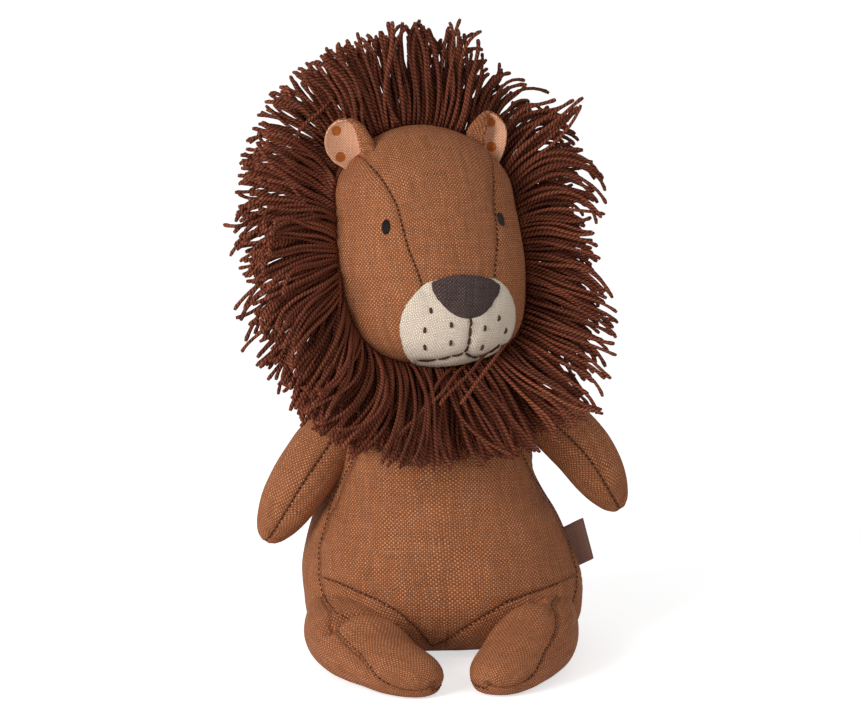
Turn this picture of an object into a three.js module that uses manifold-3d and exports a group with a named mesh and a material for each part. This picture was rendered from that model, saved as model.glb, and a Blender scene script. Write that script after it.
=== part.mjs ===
// A seated plush lion: a linen skin over loose stuffing, with a yarn mane.
// Millimetres, +Z up, the face towards -Y, the seat on z = 0. Left and right are the viewer's, seen from the front.
// Every stuffed part is made as it is sewn: fabric panels that meet at seams, round one core of stuffing.
import * as THREE from "three";
import { mergeVertices } from "three/addons/utils/BufferGeometryUtils.js";
import Module from "manifold-3d";

const wasm = await Module();
wasm.setup();

// Cloth and clearances
const fabric_thickness = 0.9;
const seam_gap = 0.3; // between panels that meet at a seam, and between a skin and what it covers
const running_gap = 0.4; // between pieces that move against each other
const cut_overrun = 60; // how far every cutting block runs past what it cuts

// Whole toy
const toy_lean = 3.3; // degrees that the torso leans towards the viewer's left
const shift_x = 3.802; // puts the middle of the toy's box over the origin
const shift_y = 10.696;

// Torso
const torso_height = 91;
const torso_half_width = 45.5;
const torso_front = 38.5;
const torso_back = 36;
const torso_sides = 24;
const torso_squareness = 2.2; // 2 is an ellipse
// Height, half width, front depth and back depth
const torso_shares = [
  [0.0, 0.8, 0.76, 0.78],
  [0.025, 0.89, 0.85, 0.87],
  [0.09, 0.967, 0.925, 0.955],
  [0.19, 1.0, 0.987, 1.0],
  [0.29, 1.0, 1.0, 1.0],
  [0.4, 0.95, 0.96, 0.96],
  [0.49, 0.89, 0.91, 0.905],
  [0.57, 0.813, 0.857, 0.85],
  [0.65, 0.75, 0.79, 0.79],
  [0.76, 0.7, 0.727, 0.736],
  [0.85, 0.615, 0.66, 0.675],
  [0.92, 0.525, 0.575, 0.6],
  [0.97, 0.43, 0.485, 0.51],
  [1.0, 0.35, 0.4, 0.43],
];
// The belly panel's right edge, from the neck to its point between the legs: half width and height
const belly_edge_shares = [
  [0.3, 1.02],
  [0.66, 0.7],
  [0.82, 0.54],
  [0.91, 0.4],
  [0.94, 0.32],
  [0.78, 0.272],
  [0.45, 0.24],
  [0.18, 0.135],
  [0, 0.035],
];
const seat_edge_height = 2.2; // where the seat's panel meets the others

// Head, measured before it is turned and leaned
const head_height = 79.5;
const head_bottom = 95.5;
const head_half_width = 34.7;
const head_front = 38;
const head_back = 33;
const head_sides = 24;
const head_squareness = 2.05;
const head_shares = [
  [0.012, 0.26, 0.3, 0.26],
  [0.04, 0.56, 0.63, 0.52],
  [0.08, 0.79, 0.83, 0.7],
  [0.14, 0.93, 0.953, 0.86],
  [0.25, 0.997, 1.0, 0.97],
  [0.36, 1.0, 0.982, 1.0],
  [0.475, 0.985, 0.92, 1.0],
  [0.57, 0.96, 0.86, 0.985],
  [0.67, 0.922, 0.77, 0.94],
  [0.76, 0.87, 0.675, 0.86],
  [0.84, 0.764, 0.566, 0.73],
  [0.9, 0.628, 0.45, 0.59],
  [0.956, 0.43, 0.3, 0.4],
  [0.99, 0.2, 0.14, 0.19],
];
const head_turn = 16; // degrees towards the viewer's right, at rest
const head_tilt = 0.8; // degrees towards the viewer's left, at rest
// The forehead gusset's right seam, from inside the nose up to the ear: half width and height
const gusset_edge_shares = [
  [0.3, 0.3],
  [0.37, 0.375],
  [0.4, 0.45],
  [0.455, 0.54],
  [0.53, 0.64],
  [0.6, 0.74],
  [0.66, 0.83],
  [0.69, 1.02],
];
// The mane is sewn into a seam round the face. The seam lies in one plane, which comes forward at the chin.
const mane_seam_top_y = 9;
const mane_seam_bottom_y = -17;

// Neck: the head's round underside rests on the torso's flat top, inside a ring of ladder stitches
const neck_ball_radius = 20;
const neck_ball_sides = 16;
const neck_thread_radius = 0.6;
const neck_thread_steps = 22;
const neck_thread_sides = 5;

// Muzzle, nose, mouth and eyes
const patch_thickness = 1.0;
const muzzle_half_width = 21;
const muzzle_height = 33;
const muzzle_bottom_share = 0.0; // of the head's height
// The patch's right half, from its top middle round to its bottom middle: half width and height
const muzzle_outline_shares = [
  [0.0, 0.9],
  [0.4, 0.93],
  [0.68, 0.885],
  [0.9, 0.72],
  [1.0, 0.5],
  [0.95, 0.27],
  [0.75, 0.09],
  [0.42, 0.0],
  [0.0, -0.02],
];
const nose_half_width = 12.6;
const nose_height = 13.8;
const nose_top_share = 0.43; // of the head's height
// The nose's right half, from its top middle round its corner to its tip: half width and height
const nose_outline_shares = [
  [0.0, 0.0],
  [0.5, -0.04],
  [0.85, -0.11],
  [1.0, -0.22],
  [0.88, -0.42],
  [0.6, -0.72],
  [0.3, -0.93],
  [0.0, -1.0],
];
const mouth_thread = 1.3;
const mouth_drop = 11.5;
const mouth_half_width = 13.5;
// The mouth's right half below the thread's fork: half width, and height in shares of the same length
const mouth_curve_shares = [
  [0.0, 0.0],
  [0.35, -0.2],
  [0.7, -0.17],
  [1.0, -0.02],
];
const eye_width = 2.9;
const eye_height = 4.8;
const eye_depth = 1.8;
const eye_angle = 40; // degrees from the face's middle
const eye_height_share = 0.62; // of the head's height
const eye_sides = 12;

// Ears: a lining and a back, sewn together at the rim and cupped
const ear_width = 16;
const ear_height = 17;
const ear_cup = 62; // degrees that the ear's width bends through
const ear_layer = 1.1;
const ear_angle = 88; // degrees from the face's middle
const ear_height_share = 0.85; // of the head's height
const ear_splay = 12; // degrees from upright
const ear_facing = 8; // degrees that the lining turns out from straight ahead
// The ear's right half, from its top middle down to its base: half width and height
const ear_outline_shares = [
  [0.0, 1.0],
  [0.45, 0.95],
  [0.82, 0.78],
  [1.0, 0.5],
  [0.93, 0.22],
  [0.72, -0.05],
  [0.6, -0.3],
];

// Mane: two rows of cut yarn on a tape, each drawn as its outer shape with the locks that the yarn falls into
const mane_tape_width = 9;
const mane_tape_thickness = 0.8;
const mane_tape_steps = 24;
const mane_radius = 66; // from the middle of the face's seam to the yarn's ends
// Degrees clockwise from the top as seen from the front, reach of the front row and of the back row, and the
// forward slope of the front row in degrees
const mane_reach_shares = [
  [-180, 1.12, 1.0, 34],
  [-162, 1.18, 1.0, 34],
  [-147, 1.18, 1.0, 30],
  [-130, 1.08, 0.98, 24],
  [-110, 1.03, 0.98, 22],
  [-90, 0.98, 0.96, 22],
  [-64, 0.99, 0.98, 16],
  [-48, 1.01, 1.0, 8],
  [-30, 1.06, 1.05, 5],
  [0, 1.1, 1.08, 5],
  [18, 1.06, 1.05, 5],
  [36, 1.0, 0.99, 5],
  [52, 1.02, 1.0, 8],
  [64, 0.98, 0.97, 16],
  [90, 0.92, 0.92, 22],
  [117, 1.06, 1.0, 22],
  [135, 1.16, 1.0, 24],
  [146, 1.19, 1.0, 30],
  [160, 1.17, 1.0, 34],
  [180, 1.12, 1.0, 34],
];
const mane_back_slope = 26; // degrees
const mane_step = 6; // degrees
const mane_lock_angle = 12; // degrees from one lock to the next
const mane_lock_reach = 3.2;
const mane_lock_swell = 1.5;
// Places along the yarn, and how much of the row's full spread it has there
const mane_along_shares = [
  [0.0, 1.0],
  [0.35, 1.0],
  [0.7, 1.0],
  [0.92, 0.86],
  [1.0, 0.5],
];
const mane_sections = [
  { name: "mane_front_top_left", row: "front", from: -60, to: 0 },
  { name: "mane_front_top_right", row: "front", from: 0, to: 60 },
  { name: "mane_front_side_left", row: "front", from: -120, to: -60 },
  { name: "mane_front_side_right", row: "front", from: 60, to: 120 },
  { name: "mane_front_low_left", row: "front", from: -156, to: -120 },
  { name: "mane_front_low_right", row: "front", from: 120, to: 156 },
  { name: "mane_bib", row: "front", from: 156, to: 204 },
  { name: "mane_back_top_left", row: "back", from: -60, to: 0 },
  { name: "mane_back_top_right", row: "back", from: 0, to: 60 },
  { name: "mane_back_side_left", row: "back", from: -120, to: -60 },
  { name: "mane_back_side_right", row: "back", from: 60, to: 120 },
  { name: "mane_back_low_left", row: "back", from: -180, to: -120 },
  { name: "mane_back_low_right", row: "back", from: 120, to: 180 },
];

// Arms: the root is drawn flat by the straight seam that closes it, and that seam is the hinge
const arm_half_width = 10.2;
const arm_half_depth = 10;
const arm_sides = 12;
const arm_left_points = [
  [-29.6, -3, 82.5],
  [-38.6, -6.5, 71],
  [-47.2, -9, 58.8],
  [-59.6, -10, 37.6],
];
const arm_right_points = [
  [21, -1, 83],
  [34.5, -2, 79.5],
  [45, -3, 71.5],
  [60.6, -5, 48],
];
// Place along the arm, half width and half depth
const arm_shares = [
  [0.0, 0.2, 0.45],
  [0.03, 0.36, 0.8],
  [0.13, 0.66, 0.96],
  [0.27, 0.93, 1.0],
  [0.45, 1.0, 1.0],
  [0.62, 0.96, 0.94],
  [0.77, 0.84, 0.82],
  [0.89, 0.62, 0.62],
  [0.965, 0.36, 0.37],
  [0.995, 0.14, 0.15],
];

// Legs: short horns that lie on the ground and curl inwards from a round hip
const hip_radius = 14.8;
const hip_x = 31;
const hip_y = -10;
const hip_flat = 0.5; // how much the ground flattens them
const leg_half_width = 14.5;
const leg_half_height = 13.2;
const leg_sides = 12;
// From the hip: forwards, outwards and down
const leg_route_points = [
  [0, 0, 0],
  [16, 1.5, 1.6],
  [34, -1.5, 3.6],
  [50, -10, 5.4],
  [63, -22, 7.4],
];
// Place along the leg, half width and half height
const leg_shares = [
  [0.02, 0.98, 0.98],
  [0.14, 1.0, 0.96],
  [0.28, 1.0, 0.89],
  [0.43, 0.96, 0.8],
  [0.58, 0.91, 0.71],
  [0.72, 0.82, 0.63],
  [0.84, 0.69, 0.54],
  [0.93, 0.5, 0.43],
  [0.98, 0.28, 0.27],
];
const leg_outward = 10; // degrees that a leg can turn out from its rest
const leg_seam_hip_height = 20; // the seam between a leg's top and its sole falls from the hip to the toe
const leg_seam_toe_height = 4;

// Tail: a linen tube that ends in a yarn tuft
const tail_radius = 3.2;
const tail_height = 17;
const tail_sides = 10;
// From the tail's root: to the right, backwards and down
const tail_route_points = [
  [0, 0, 0],
  [0, 7, 3],
  [3, 12, 9.5],
  [12, 14, 12.8],
  [21, 12, 12.9],
];
const tail_shares = [
  [0.0, 0.35, 0.35],
  [0.05, 0.75, 0.75],
  [0.12, 1.0, 1.0],
  [0.25, 1.0, 1.0],
  [0.4, 1.0, 1.0],
  [0.55, 1.0, 1.0],
  [0.7, 1.0, 1.0],
  [0.85, 1.0, 1.0],
  [0.97, 0.95, 0.95],
];
const tuft_length = 22;
const tuft_radius = 5;
const tuft_ridges = 7;
const tuft_ridge_share = 0.14;
const tuft_shares = [
  [0.0, 0.6, 0.6],
  [0.2, 0.85, 0.85],
  [0.55, 1.0, 0.9],
  [0.85, 0.9, 0.75],
  [1.0, 0.6, 0.45],
];

// Side label: a folded ribbon that is caught in the side seam
const label_width = 15.5;
const label_reach = 7;
const label_ribbon = 0.5;
const label_fold = 0.5; // between its two layers
const label_height = 34;
const label_tilt = 19; // degrees from upright
const label_y = -9;

const radians = THREE.MathUtils.degToRad;
const linen = 0xa9714b;
const lining = 0xab7255;
const cream = 0xd5c0ae;
const charcoal = 0x4e3f3b;
const black_brown = 0x1d1614;
const yarn = 0x4b241b;
const thread = 0x4a2a1c;
const ribbon = 0x624337;
const fibre = 0xe9e6e0;

// Turns a closed geometry into a solid that can be cut and joined.
function solid_of(geometry) {
  const bare = geometry.clone();
  bare.deleteAttribute("normal");
  bare.deleteAttribute("uv");
  const merged = mergeVertices(bare);
  return new wasm.Manifold(
    new wasm.Mesh({
      numProp: 3,
      vertProperties: merged.attributes.position.array,
      triVerts: new Uint32Array(merged.index.array),
    }),
  );
}

function geometry_of(solid) {
  const mesh = solid.getMesh();
  const geometry = new THREE.BufferGeometry();
  geometry.setAttribute("position", new THREE.BufferAttribute(mesh.vertProperties, 3));
  geometry.setIndex(new THREE.BufferAttribute(mesh.triVerts, 1));
  geometry.computeVertexNormals();
  return geometry;
}

function moved(solid, matrix) {
  return solid.transform(Array.from(matrix.elements));
}

function join(solids) {
  return solids.reduce((all, next) => all.add(next));
}

// Reads a table at any place between its rows.
function read_table(rows, place) {
  const last = rows.length - 1;
  if (place <= rows[0][0]) return rows[0];
  if (place >= rows[last][0]) return rows[last];
  const i = rows.findIndex((row) => row[0] > place) - 1;
  const t = (place - rows[i][0]) / (rows[i + 1][0] - rows[i][0]);
  return rows[i].map((value, k) => THREE.MathUtils.lerp(value, rows[i + 1][k], t));
}

// A closed skin through rings of points, with each end closed to a middle point.
function skin_through(rings, first_pole, last_pole) {
  const sides = rings[0].length;
  const points = [first_pole, ...rings.flat(), last_pole];
  const last = points.length - 1;
  const faces = [];
  for (let i = 0; i < sides; i += 1) {
    const next = (i + 1) % sides;
    faces.push(0, 1 + next, 1 + i);
    for (let r = 0; r + 1 < rings.length; r += 1) {
      const low = 1 + r * sides;
      const high = low + sides;
      faces.push(low + i, low + next, high + next);
      faces.push(low + i, high + next, high + i);
    }
    const top = 1 + (rings.length - 1) * sides;
    faces.push(top + i, top + next, last);
  }
  const geometry = new THREE.BufferGeometry().setFromPoints(points);
  geometry.setIndex(faces);
  return solid_of(geometry);
}

// A closed hoop whose section is the same count of points at each step round.
function hoop_through(loops) {
  const sides = loops[0].length;
  const faces = [];
  loops.forEach((loop, s) => {
    const here = s * sides;
    const there = ((s + 1) % loops.length) * sides;
    for (let i = 0; i < sides; i += 1) {
      const next = (i + 1) % sides;
      faces.push(here + i, here + next, there + next);
      faces.push(here + i, there + next, there + i);
    }
  });
  const geometry = new THREE.BufferGeometry().setFromPoints(loops.flat());
  geometry.setIndex(faces);
  return solid_of(geometry);
}

function round_power(value, squareness) {
  return Math.sign(value) * Math.abs(value) ** (2 / squareness);
}

// A stuffed form that stands upright, from a table of shares. grow makes it larger all over, or smaller.
function stuffed_form(form, grow = 0, coarse = 1) {
  const last_row = form.shares.length - 1;
  const rows = form.shares.filter((row, i) => i % coarse === 0 || i === last_row);
  const tall = form.height + 2 * grow;
  const base = form.bottom - grow;
  const rings = rows.map(([level, wide, front, back]) => {
    const ring = [];
    const half_width = form.half_width * wide + grow;
    for (let i = 0; i < form.sides; i += coarse) {
      const angle = (i / form.sides) * 2 * Math.PI;
      const across = round_power(Math.sin(angle), form.squareness);
      const ahead = round_power(Math.cos(angle), form.squareness);
      const depth = ahead > 0 ? form.front * front + grow : form.back * back + grow;
      ring.push(new THREE.Vector3(-half_width * across, -depth * ahead, base + tall * level));
    }
    return ring.reverse();
  });
  return skin_through(rings, new THREE.Vector3(0, 0, base), new THREE.Vector3(0, 0, base + tall));
}

const torso_form = {
  shares: torso_shares,
  height: torso_height,
  bottom: 0,
  half_width: torso_half_width,
  front: torso_front,
  back: torso_back,
  sides: torso_sides,
  squareness: torso_squareness,
};
const head_form = {
  shares: head_shares,
  height: head_height,
  bottom: head_bottom,
  half_width: head_half_width,
  front: head_front,
  back: head_back,
  sides: head_sides,
  squareness: head_squareness,
};

// A stuffed limb along a smooth curve, from a table of shares.
function limb(form, grow = 0, coarse = 1) {
  const curve = new THREE.CatmullRomCurve3(form.points.map((p) => new THREE.Vector3(...p)));
  const upright = new THREE.Vector3(...form.upright);
  const rows = form.shares;
  const start = curve.getPointAt(0).addScaledVector(curve.getTangentAt(0), -grow);
  const end = curve.getPointAt(1).addScaledVector(curve.getTangentAt(1), grow);
  const rings = rows.map(([along, wide, high], r) => {
    const middle = curve.getPointAt(along);
    const ahead = curve.getTangentAt(along);
    if (r === 0) middle.addScaledVector(ahead, -grow);
    if (r === rows.length - 1) middle.addScaledVector(ahead, grow);
    const side = new THREE.Vector3().crossVectors(ahead, upright).normalize();
    const up = new THREE.Vector3().crossVectors(side, ahead).normalize();
    const ring = [];
    for (let i = 0; i < form.sides; i += coarse) {
      const angle = (i / form.sides) * 2 * Math.PI;
      const swell = form.ridges ? 1 + form.ridge_share * Math.cos(form.ridges * angle) : 1;
      ring.push(
        middle
          .clone()
          .addScaledVector(side, (form.half_width * wide * swell + grow) * Math.cos(angle))
          .addScaledVector(up, -(form.half_height * high * swell + grow) * Math.sin(angle)),
      );
    }
    return ring;
  });
  return skin_through(rings, start, end);
}

function ball(radius, centre, sides) {
  const sphere = new THREE.SphereGeometry(radius, sides, sides / 2);
  sphere.rotateX(Math.PI / 2);
  sphere.translate(centre.x, centre.y, centre.z);
  return solid_of(sphere);
}

// A flat outline in x and z, run through the toy from one y to another.
function prism(outline, from_y, to_y) {
  const shape = new THREE.Shape(outline.map(([x, z]) => new THREE.Vector2(x, z)));
  const run = new THREE.ExtrudeGeometry(shape, { depth: to_y - from_y, bevelEnabled: false });
  run.rotateX(Math.PI / 2);
  run.translate(0, to_y, 0);
  return solid_of(run);
}

function block(low, high) {
  const size = new THREE.Vector3().subVectors(high, low);
  const box = new THREE.BoxGeometry(size.x, size.y, size.z);
  box.translate(low.x + size.x / 2, low.y + size.y / 2, low.z + size.z / 2);
  return solid_of(box);
}

const far = cut_overrun + torso_height + head_height;
const left_half = block(new THREE.Vector3(-far, -far, -far), new THREE.Vector3(-seam_gap / 2, far, far));
const right_half = block(new THREE.Vector3(seam_gap / 2, -far, -far), new THREE.Vector3(far, far, far));
function below(height) {
  return block(new THREE.Vector3(-far, -far, -far), new THREE.Vector3(far, far, height));
}

// The right half of an outline as a smooth line. grow moves it outwards.
function smooth_half(shares, half_width, height, bottom, grow) {
  const knots = shares.map(([x, z]) => new THREE.Vector2(half_width * x, bottom + height * z));
  const curve = new THREE.SplineCurve(knots);
  const steps = 2 * (shares.length - 1);
  return curve.getPoints(steps).map((point, i) => {
    const ahead = curve.getTangent(i / steps);
    const closed = i === 0 || i === steps;
    const moved_x = Math.max(point.x + Math.abs(ahead.y) * grow, 0);
    const side_z = closed ? Math.sign(point.y - bottom - height / 2) * Math.abs(ahead.x) * grow : ahead.x * grow;
    return [point.x === 0 ? 0 : moved_x, point.y + side_z];
  });
}

// Both halves of an outline that is written for its right half.
function whole_outline(half) {
  const left = half.filter(([x]) => x > 0).map(([x, z]) => [-x, z]);
  return [...half, ...left.reverse()];
}

// Cuts can leave crumbs beside a panel, so each piece is its one large body.
const nodes = [];
function keep(name, solid, colour, roughness = 0.95) {
  const bodies = solid.decompose().sort((a, b) => b.volume() - a.volume());
  nodes.push({ name, solid: bodies[0], colour, roughness });
}

// Where the torso leans to, and the head's place and turn
const lean_slope = Math.tan(radians(toy_lean));
const torso_lean = new THREE.Matrix4().set(1, 0, -lean_slope, 0, 0, 1, 0, 0, 0, 0, 1, 0, 0, 0, 0, 1);
const neck_height = torso_height + running_gap + neck_ball_radius;
const neck_middle = new THREE.Vector3(0, 0, neck_height);
const neck_place = neck_middle.clone().applyMatrix4(torso_lean);
const head_place = new THREE.Matrix4()
  .makeTranslation(neck_place.x, neck_place.y, neck_place.z)
  .multiply(new THREE.Matrix4().makeRotationY(radians(-head_tilt)))
  .multiply(new THREE.Matrix4().makeRotationZ(radians(head_turn)))
  .multiply(new THREE.Matrix4().makeTranslation(0, 0, -neck_height));

// Legs
function leg_solid(side, grow = 0, coarse = 1, turn = 0) {
  const hip = new THREE.Vector3(side * hip_x, hip_y, hip_radius - hip_flat);
  const route = leg_route_points.map(([forwards, outwards, down]) => [
    side * outwards,
    -forwards,
    leg_half_height - hip_radius - down,
  ]);
  const form = {
    points: route,
    shares: leg_shares,
    half_width: leg_half_width,
    half_height: leg_half_height,
    sides: leg_sides,
    upright: [0, 0, 1],
  };
  const middle = new THREE.Vector3(0, 0, 0);
  const leg = limb(form, grow, coarse).add(ball(hip_radius + grow, middle, leg_sides));
  const place = new THREE.Matrix4()
    .makeTranslation(hip.x, hip.y, hip.z)
    .multiply(new THREE.Matrix4().makeRotationZ(radians(side * turn)));
  return moved(leg, place);
}
const legs_room = join(
  [-1, 1].flatMap((side) =>
    [0, leg_outward].map((turn) => leg_solid(side, running_gap, 1, turn)),
  ),
);

// A plainer room for the legs in the stuffing: a shaft round each hip, open to the front and the sides
const shaft_radius = hip_radius + running_gap + fabric_thickness + seam_gap;
const shaft_height = 2 * hip_radius - hip_flat + running_gap + fabric_thickness + seam_gap;
const core_room = join(
  [-1, 1].map((side) => {
    const shaft = new THREE.CylinderGeometry(shaft_radius, shaft_radius, 2 * shaft_height, 2 * leg_sides);
    shaft.rotateX(Math.PI / 2);
    shaft.translate(side * hip_x, hip_y, 0);
    const inner_x = side * (hip_x - shaft_radius);
    const front = block(
      new THREE.Vector3(Math.min(inner_x, side * far), -far, -far),
      new THREE.Vector3(Math.max(inner_x, side * far), hip_y, shaft_height),
    );
    return solid_of(shaft).add(front);
  }),
);

// Torso: a belly panel that runs down to a narrow end between the legs, two back panels and a flat seat
const torso_outside = stuffed_form(torso_form);
const torso_skin = torso_outside.subtract(stuffed_form(torso_form, -fabric_thickness));
const torso_core = stuffed_form(torso_form, -fabric_thickness - seam_gap, 2);
const belly_half = (grow) => smooth_half(belly_edge_shares, torso_half_width, torso_height, 0, grow);
const belly_block = (grow) => prism(whole_outline(belly_half(grow)), -far, 0);
const seat_block = (grow) => below(seat_edge_height + grow);
const torso_room = (grow) => moved(stuffed_form(torso_form, grow), torso_lean);
const torso_pieces = [
  ["belly_panel", torso_skin.intersect(belly_block(-seam_gap / 2)).subtract(seat_block(seam_gap / 2)), linen],
  [
    "back_panel_left",
    torso_skin.subtract(belly_block(seam_gap / 2)).subtract(seat_block(seam_gap / 2)).intersect(left_half),
    linen,
  ],
  [
    "back_panel_right",
    torso_skin.subtract(belly_block(seam_gap / 2)).subtract(seat_block(seam_gap / 2)).intersect(right_half),
    linen,
  ],
  ["seat_panel", torso_skin.intersect(seat_block(-seam_gap / 2)), linen],
  ["torso_stuffing", torso_core, fibre],
];
for (const [name, solid, colour] of torso_pieces) {
  keep(name, moved(solid, torso_lean).subtract(name === "torso_stuffing" ? core_room : legs_room), colour);
}

for (const [name, side] of [
  ["left", -1],
  ["right", 1],
]) {
  const skin = leg_solid(side)
    .subtract(below(0))
    .subtract(leg_solid(side, -fabric_thickness).subtract(below(fabric_thickness)));
  const core = leg_solid(side, -fabric_thickness - seam_gap, 2).subtract(below(fabric_thickness + seam_gap));
  const toe_y = hip_y - leg_route_points[leg_route_points.length - 1][0];
  const slope = (leg_seam_hip_height - leg_seam_toe_height) / (hip_y - toe_y);
  const sole_block = (grow) => {
    const at = (y) => leg_seam_toe_height + (y - toe_y) * slope + grow;
    const side_view = new THREE.Shape([
      new THREE.Vector2(-far, at(-far)),
      new THREE.Vector2(-far, -far - far),
      new THREE.Vector2(far, -far - far),
      new THREE.Vector2(far, at(far)),
    ]);
    const run = new THREE.ExtrudeGeometry(side_view, { depth: 2 * far, bevelEnabled: false });
    run.rotateX(Math.PI / 2);
    run.rotateZ(Math.PI / 2);
    run.translate(-far, 0, 0);
    return solid_of(run);
  };
  keep(`leg_${name}_top`, skin.subtract(sole_block(seam_gap / 2)), linen);
  keep(`leg_${name}_sole`, skin.intersect(sole_block(-seam_gap / 2)), linen);
  keep(`leg_${name}_stuffing`, core, fibre);
}

// Arms: an inner and an outer panel each, which meet along the front and the back
function arm_form(points) {
  return {
    points,
    shares: arm_shares,
    half_width: arm_half_width,
    half_height: arm_half_depth,
    sides: arm_sides,
    upright: [0, 1, 0],
  };
}
const arm_rooms = [];
for (const [name, points] of [
  ["left", arm_left_points],
  ["right", arm_right_points],
]) {
  const form = arm_form(points);
  const clear_of_torso = torso_room(running_gap);
  const outside = limb(form).subtract(clear_of_torso);
  const inside = limb(form, -fabric_thickness).subtract(torso_room(running_gap + fabric_thickness));
  const core = limb(form, -fabric_thickness - seam_gap, 2).subtract(
    torso_room(running_gap + fabric_thickness + seam_gap),
  );
  const skin = outside.subtract(inside);
  // The seams run along the arm's middle, so the cut follows its curve.
  const curve = new THREE.CatmullRomCurve3(points.map((p) => new THREE.Vector3(...p)));
  const inner_block = (grow) => {
    const run = curve.getSpacedPoints(arm_sides).map((p, i) => {
      const ahead = curve.getTangentAt(i / arm_sides);
      const across = new THREE.Vector2(-ahead.z, ahead.x).normalize();
      if (across.x * points[0][0] > 0) across.negate();
      return [p.x + across.x * grow, p.z + across.y * grow];
    });
    const first = run[0];
    const last = run[run.length - 1];
    const outline = [[0, first[1]], ...run, [last[0], last[1] - far], [0, last[1] - far]];
    outline[0] = [first[0] * 0, first[1] + Math.abs(grow) * 0];
    return prism(name === "left" ? outline : outline.reverse(), -far, far);
  };
  keep(`arm_${name}_inner`, skin.intersect(inner_block(seam_gap / 2)), linen);
  keep(`arm_${name}_outer`, skin.subtract(inner_block(-seam_gap / 2)), linen);
  keep(`arm_${name}_stuffing`, core, fibre);
  arm_rooms.push(limb(form, running_gap));
}

// Head: a forehead gusset, two cheeks and a back panel, with the mane's seam between face and back
function head_solid(grow = 0, coarse = 1) {
  return stuffed_form(head_form, grow, coarse).add(ball(neck_ball_radius + grow, neck_middle, neck_ball_sides));
}
const seam_top = new THREE.Vector3(0, mane_seam_top_y, head_bottom + head_height);
const seam_bottom = new THREE.Vector3(0, mane_seam_bottom_y, head_bottom);
const seam_up = new THREE.Vector3().subVectors(seam_top, seam_bottom).normalize();
const seam_right = new THREE.Vector3(1, 0, 0);
const seam_front = new THREE.Vector3().crossVectors(seam_up, seam_right).negate();
if (seam_front.y > 0) seam_front.negate();
const seam_middle = new THREE.Vector3().addVectors(seam_top, seam_bottom).multiplyScalar(1 / 2);

function behind_seam(offset) {
  const basis = new THREE.Matrix4().makeBasis(seam_right, seam_front.clone().negate(), seam_up);
  const room = block(new THREE.Vector3(-far, -offset, -far), new THREE.Vector3(far, 2 * far, far));
  const place = new THREE.Matrix4().makeTranslation(seam_middle.x, seam_middle.y, seam_middle.z).multiply(basis);
  return moved(room, place);
}
const head_skin = head_solid().subtract(head_solid(-fabric_thickness));
const face_skin = head_skin.subtract(behind_seam(seam_gap / 2));
const gusset_half = (grow) => smooth_half(gusset_edge_shares, head_half_width, head_height, head_bottom, grow);
const gusset_block = (grow) => {
  const right = gusset_half(grow);
  const left = right.map(([x, z]) => [-x, z]).reverse();
  return prism([...right, ...left], -far, far);
};
const cheeks = face_skin.subtract(gusset_block(seam_gap / 2));
const head_pieces = [
  ["head_gusset", face_skin.intersect(gusset_block(-seam_gap / 2)), linen],
  ["cheek_left", cheeks.intersect(left_half), linen],
  ["cheek_right", cheeks.intersect(right_half), linen],
  ["head_back", head_skin.intersect(behind_seam(-seam_gap / 2)), linen],
  ["head_stuffing", head_solid(-fabric_thickness - seam_gap, 2), fibre],
];

// How far the head reaches from the seam's middle, at an angle round the face and a step towards the face
function head_reach(angle, offset) {
  const ahead = seam_up
    .clone()
    .multiplyScalar(Math.cos(radians(angle)))
    .addScaledVector(seam_right, Math.sin(radians(angle)));
  const start = seam_middle.clone().addScaledVector(seam_front, offset);
  let low = 0;
  let high = head_height;
  for (let i = 0; i < mane_tape_steps / 2; i += 1) {
    const reach = (low + high) / 2;
    const point = start.clone().addScaledVector(ahead, reach);
    const level = (point.z - head_bottom) / head_height;
    const [, wide, front, back] = read_table(head_shares, level);
    const depth = point.y < 0 ? head_front * front : head_back * back;
    const spread =
      Math.abs(point.x / (head_half_width * wide)) ** head_squareness +
      Math.abs(point.y / depth) ** head_squareness;
    const inside = level > 0 && level < 1 && spread < 1;
    const in_neck = point.distanceTo(neck_middle) < neck_ball_radius;
    if (inside || in_neck) low = reach;
    else high = reach;
  }
  return { start, ahead, reach: high };
}

// Mane tape: a flat band of cloth round the head, over the seam
const tape_half = mane_tape_width / 2;
const tape_low = 2 * seam_gap;
const tape_high = tape_low + mane_tape_thickness;
function tape_solid(grow) {
  const loops = [];
  for (let i = 0; i < mane_tape_steps; i += 1) {
    const angle = (i / mane_tape_steps) * 360;
    const edges = [-tape_half - grow, 0, tape_half + grow].map((offset) => head_reach(angle, offset));
    const side = (rise) => edges.map((edge) => edge.start.clone().addScaledVector(edge.ahead, edge.reach + rise));
    loops.push([...side(tape_high + grow), ...side(tape_low - grow).reverse()]);
  }
  return hoop_through(loops);
}
const tape_room = tape_solid(seam_gap);
head_pieces.push(["mane_tape", tape_solid(0).subtract(head_solid(seam_gap)), linen]);

// Muzzle and nose: patches laid on the face
function patch(inner_gap, thickness, outline) {
  const sheet = head_solid(inner_gap + thickness).subtract(head_solid(inner_gap));
  return sheet.intersect(prism(outline, -far, 0)).subtract(behind_seam(tape_half + seam_gap));
}
const muzzle_bottom = head_bottom + head_height * muzzle_bottom_share;
const muzzle_half = smooth_half(muzzle_outline_shares, muzzle_half_width, muzzle_height, muzzle_bottom, 0);
head_pieces.push(["muzzle_patch", patch(seam_gap, patch_thickness, whole_outline(muzzle_half.reverse())), cream]);
const on_muzzle = seam_gap + patch_thickness + seam_gap;
const nose_top = head_bottom + head_height * nose_top_share;
const nose_half = smooth_half(nose_outline_shares, nose_half_width, nose_height, nose_top, 0);
const nose_block = prism(whole_outline([...nose_half].reverse()), -far, 0);
const nose_sheet = head_solid(on_muzzle + patch_thickness).subtract(head_solid(on_muzzle));
head_pieces.push(["nose_patch", nose_sheet.intersect(nose_block), charcoal]);

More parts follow.
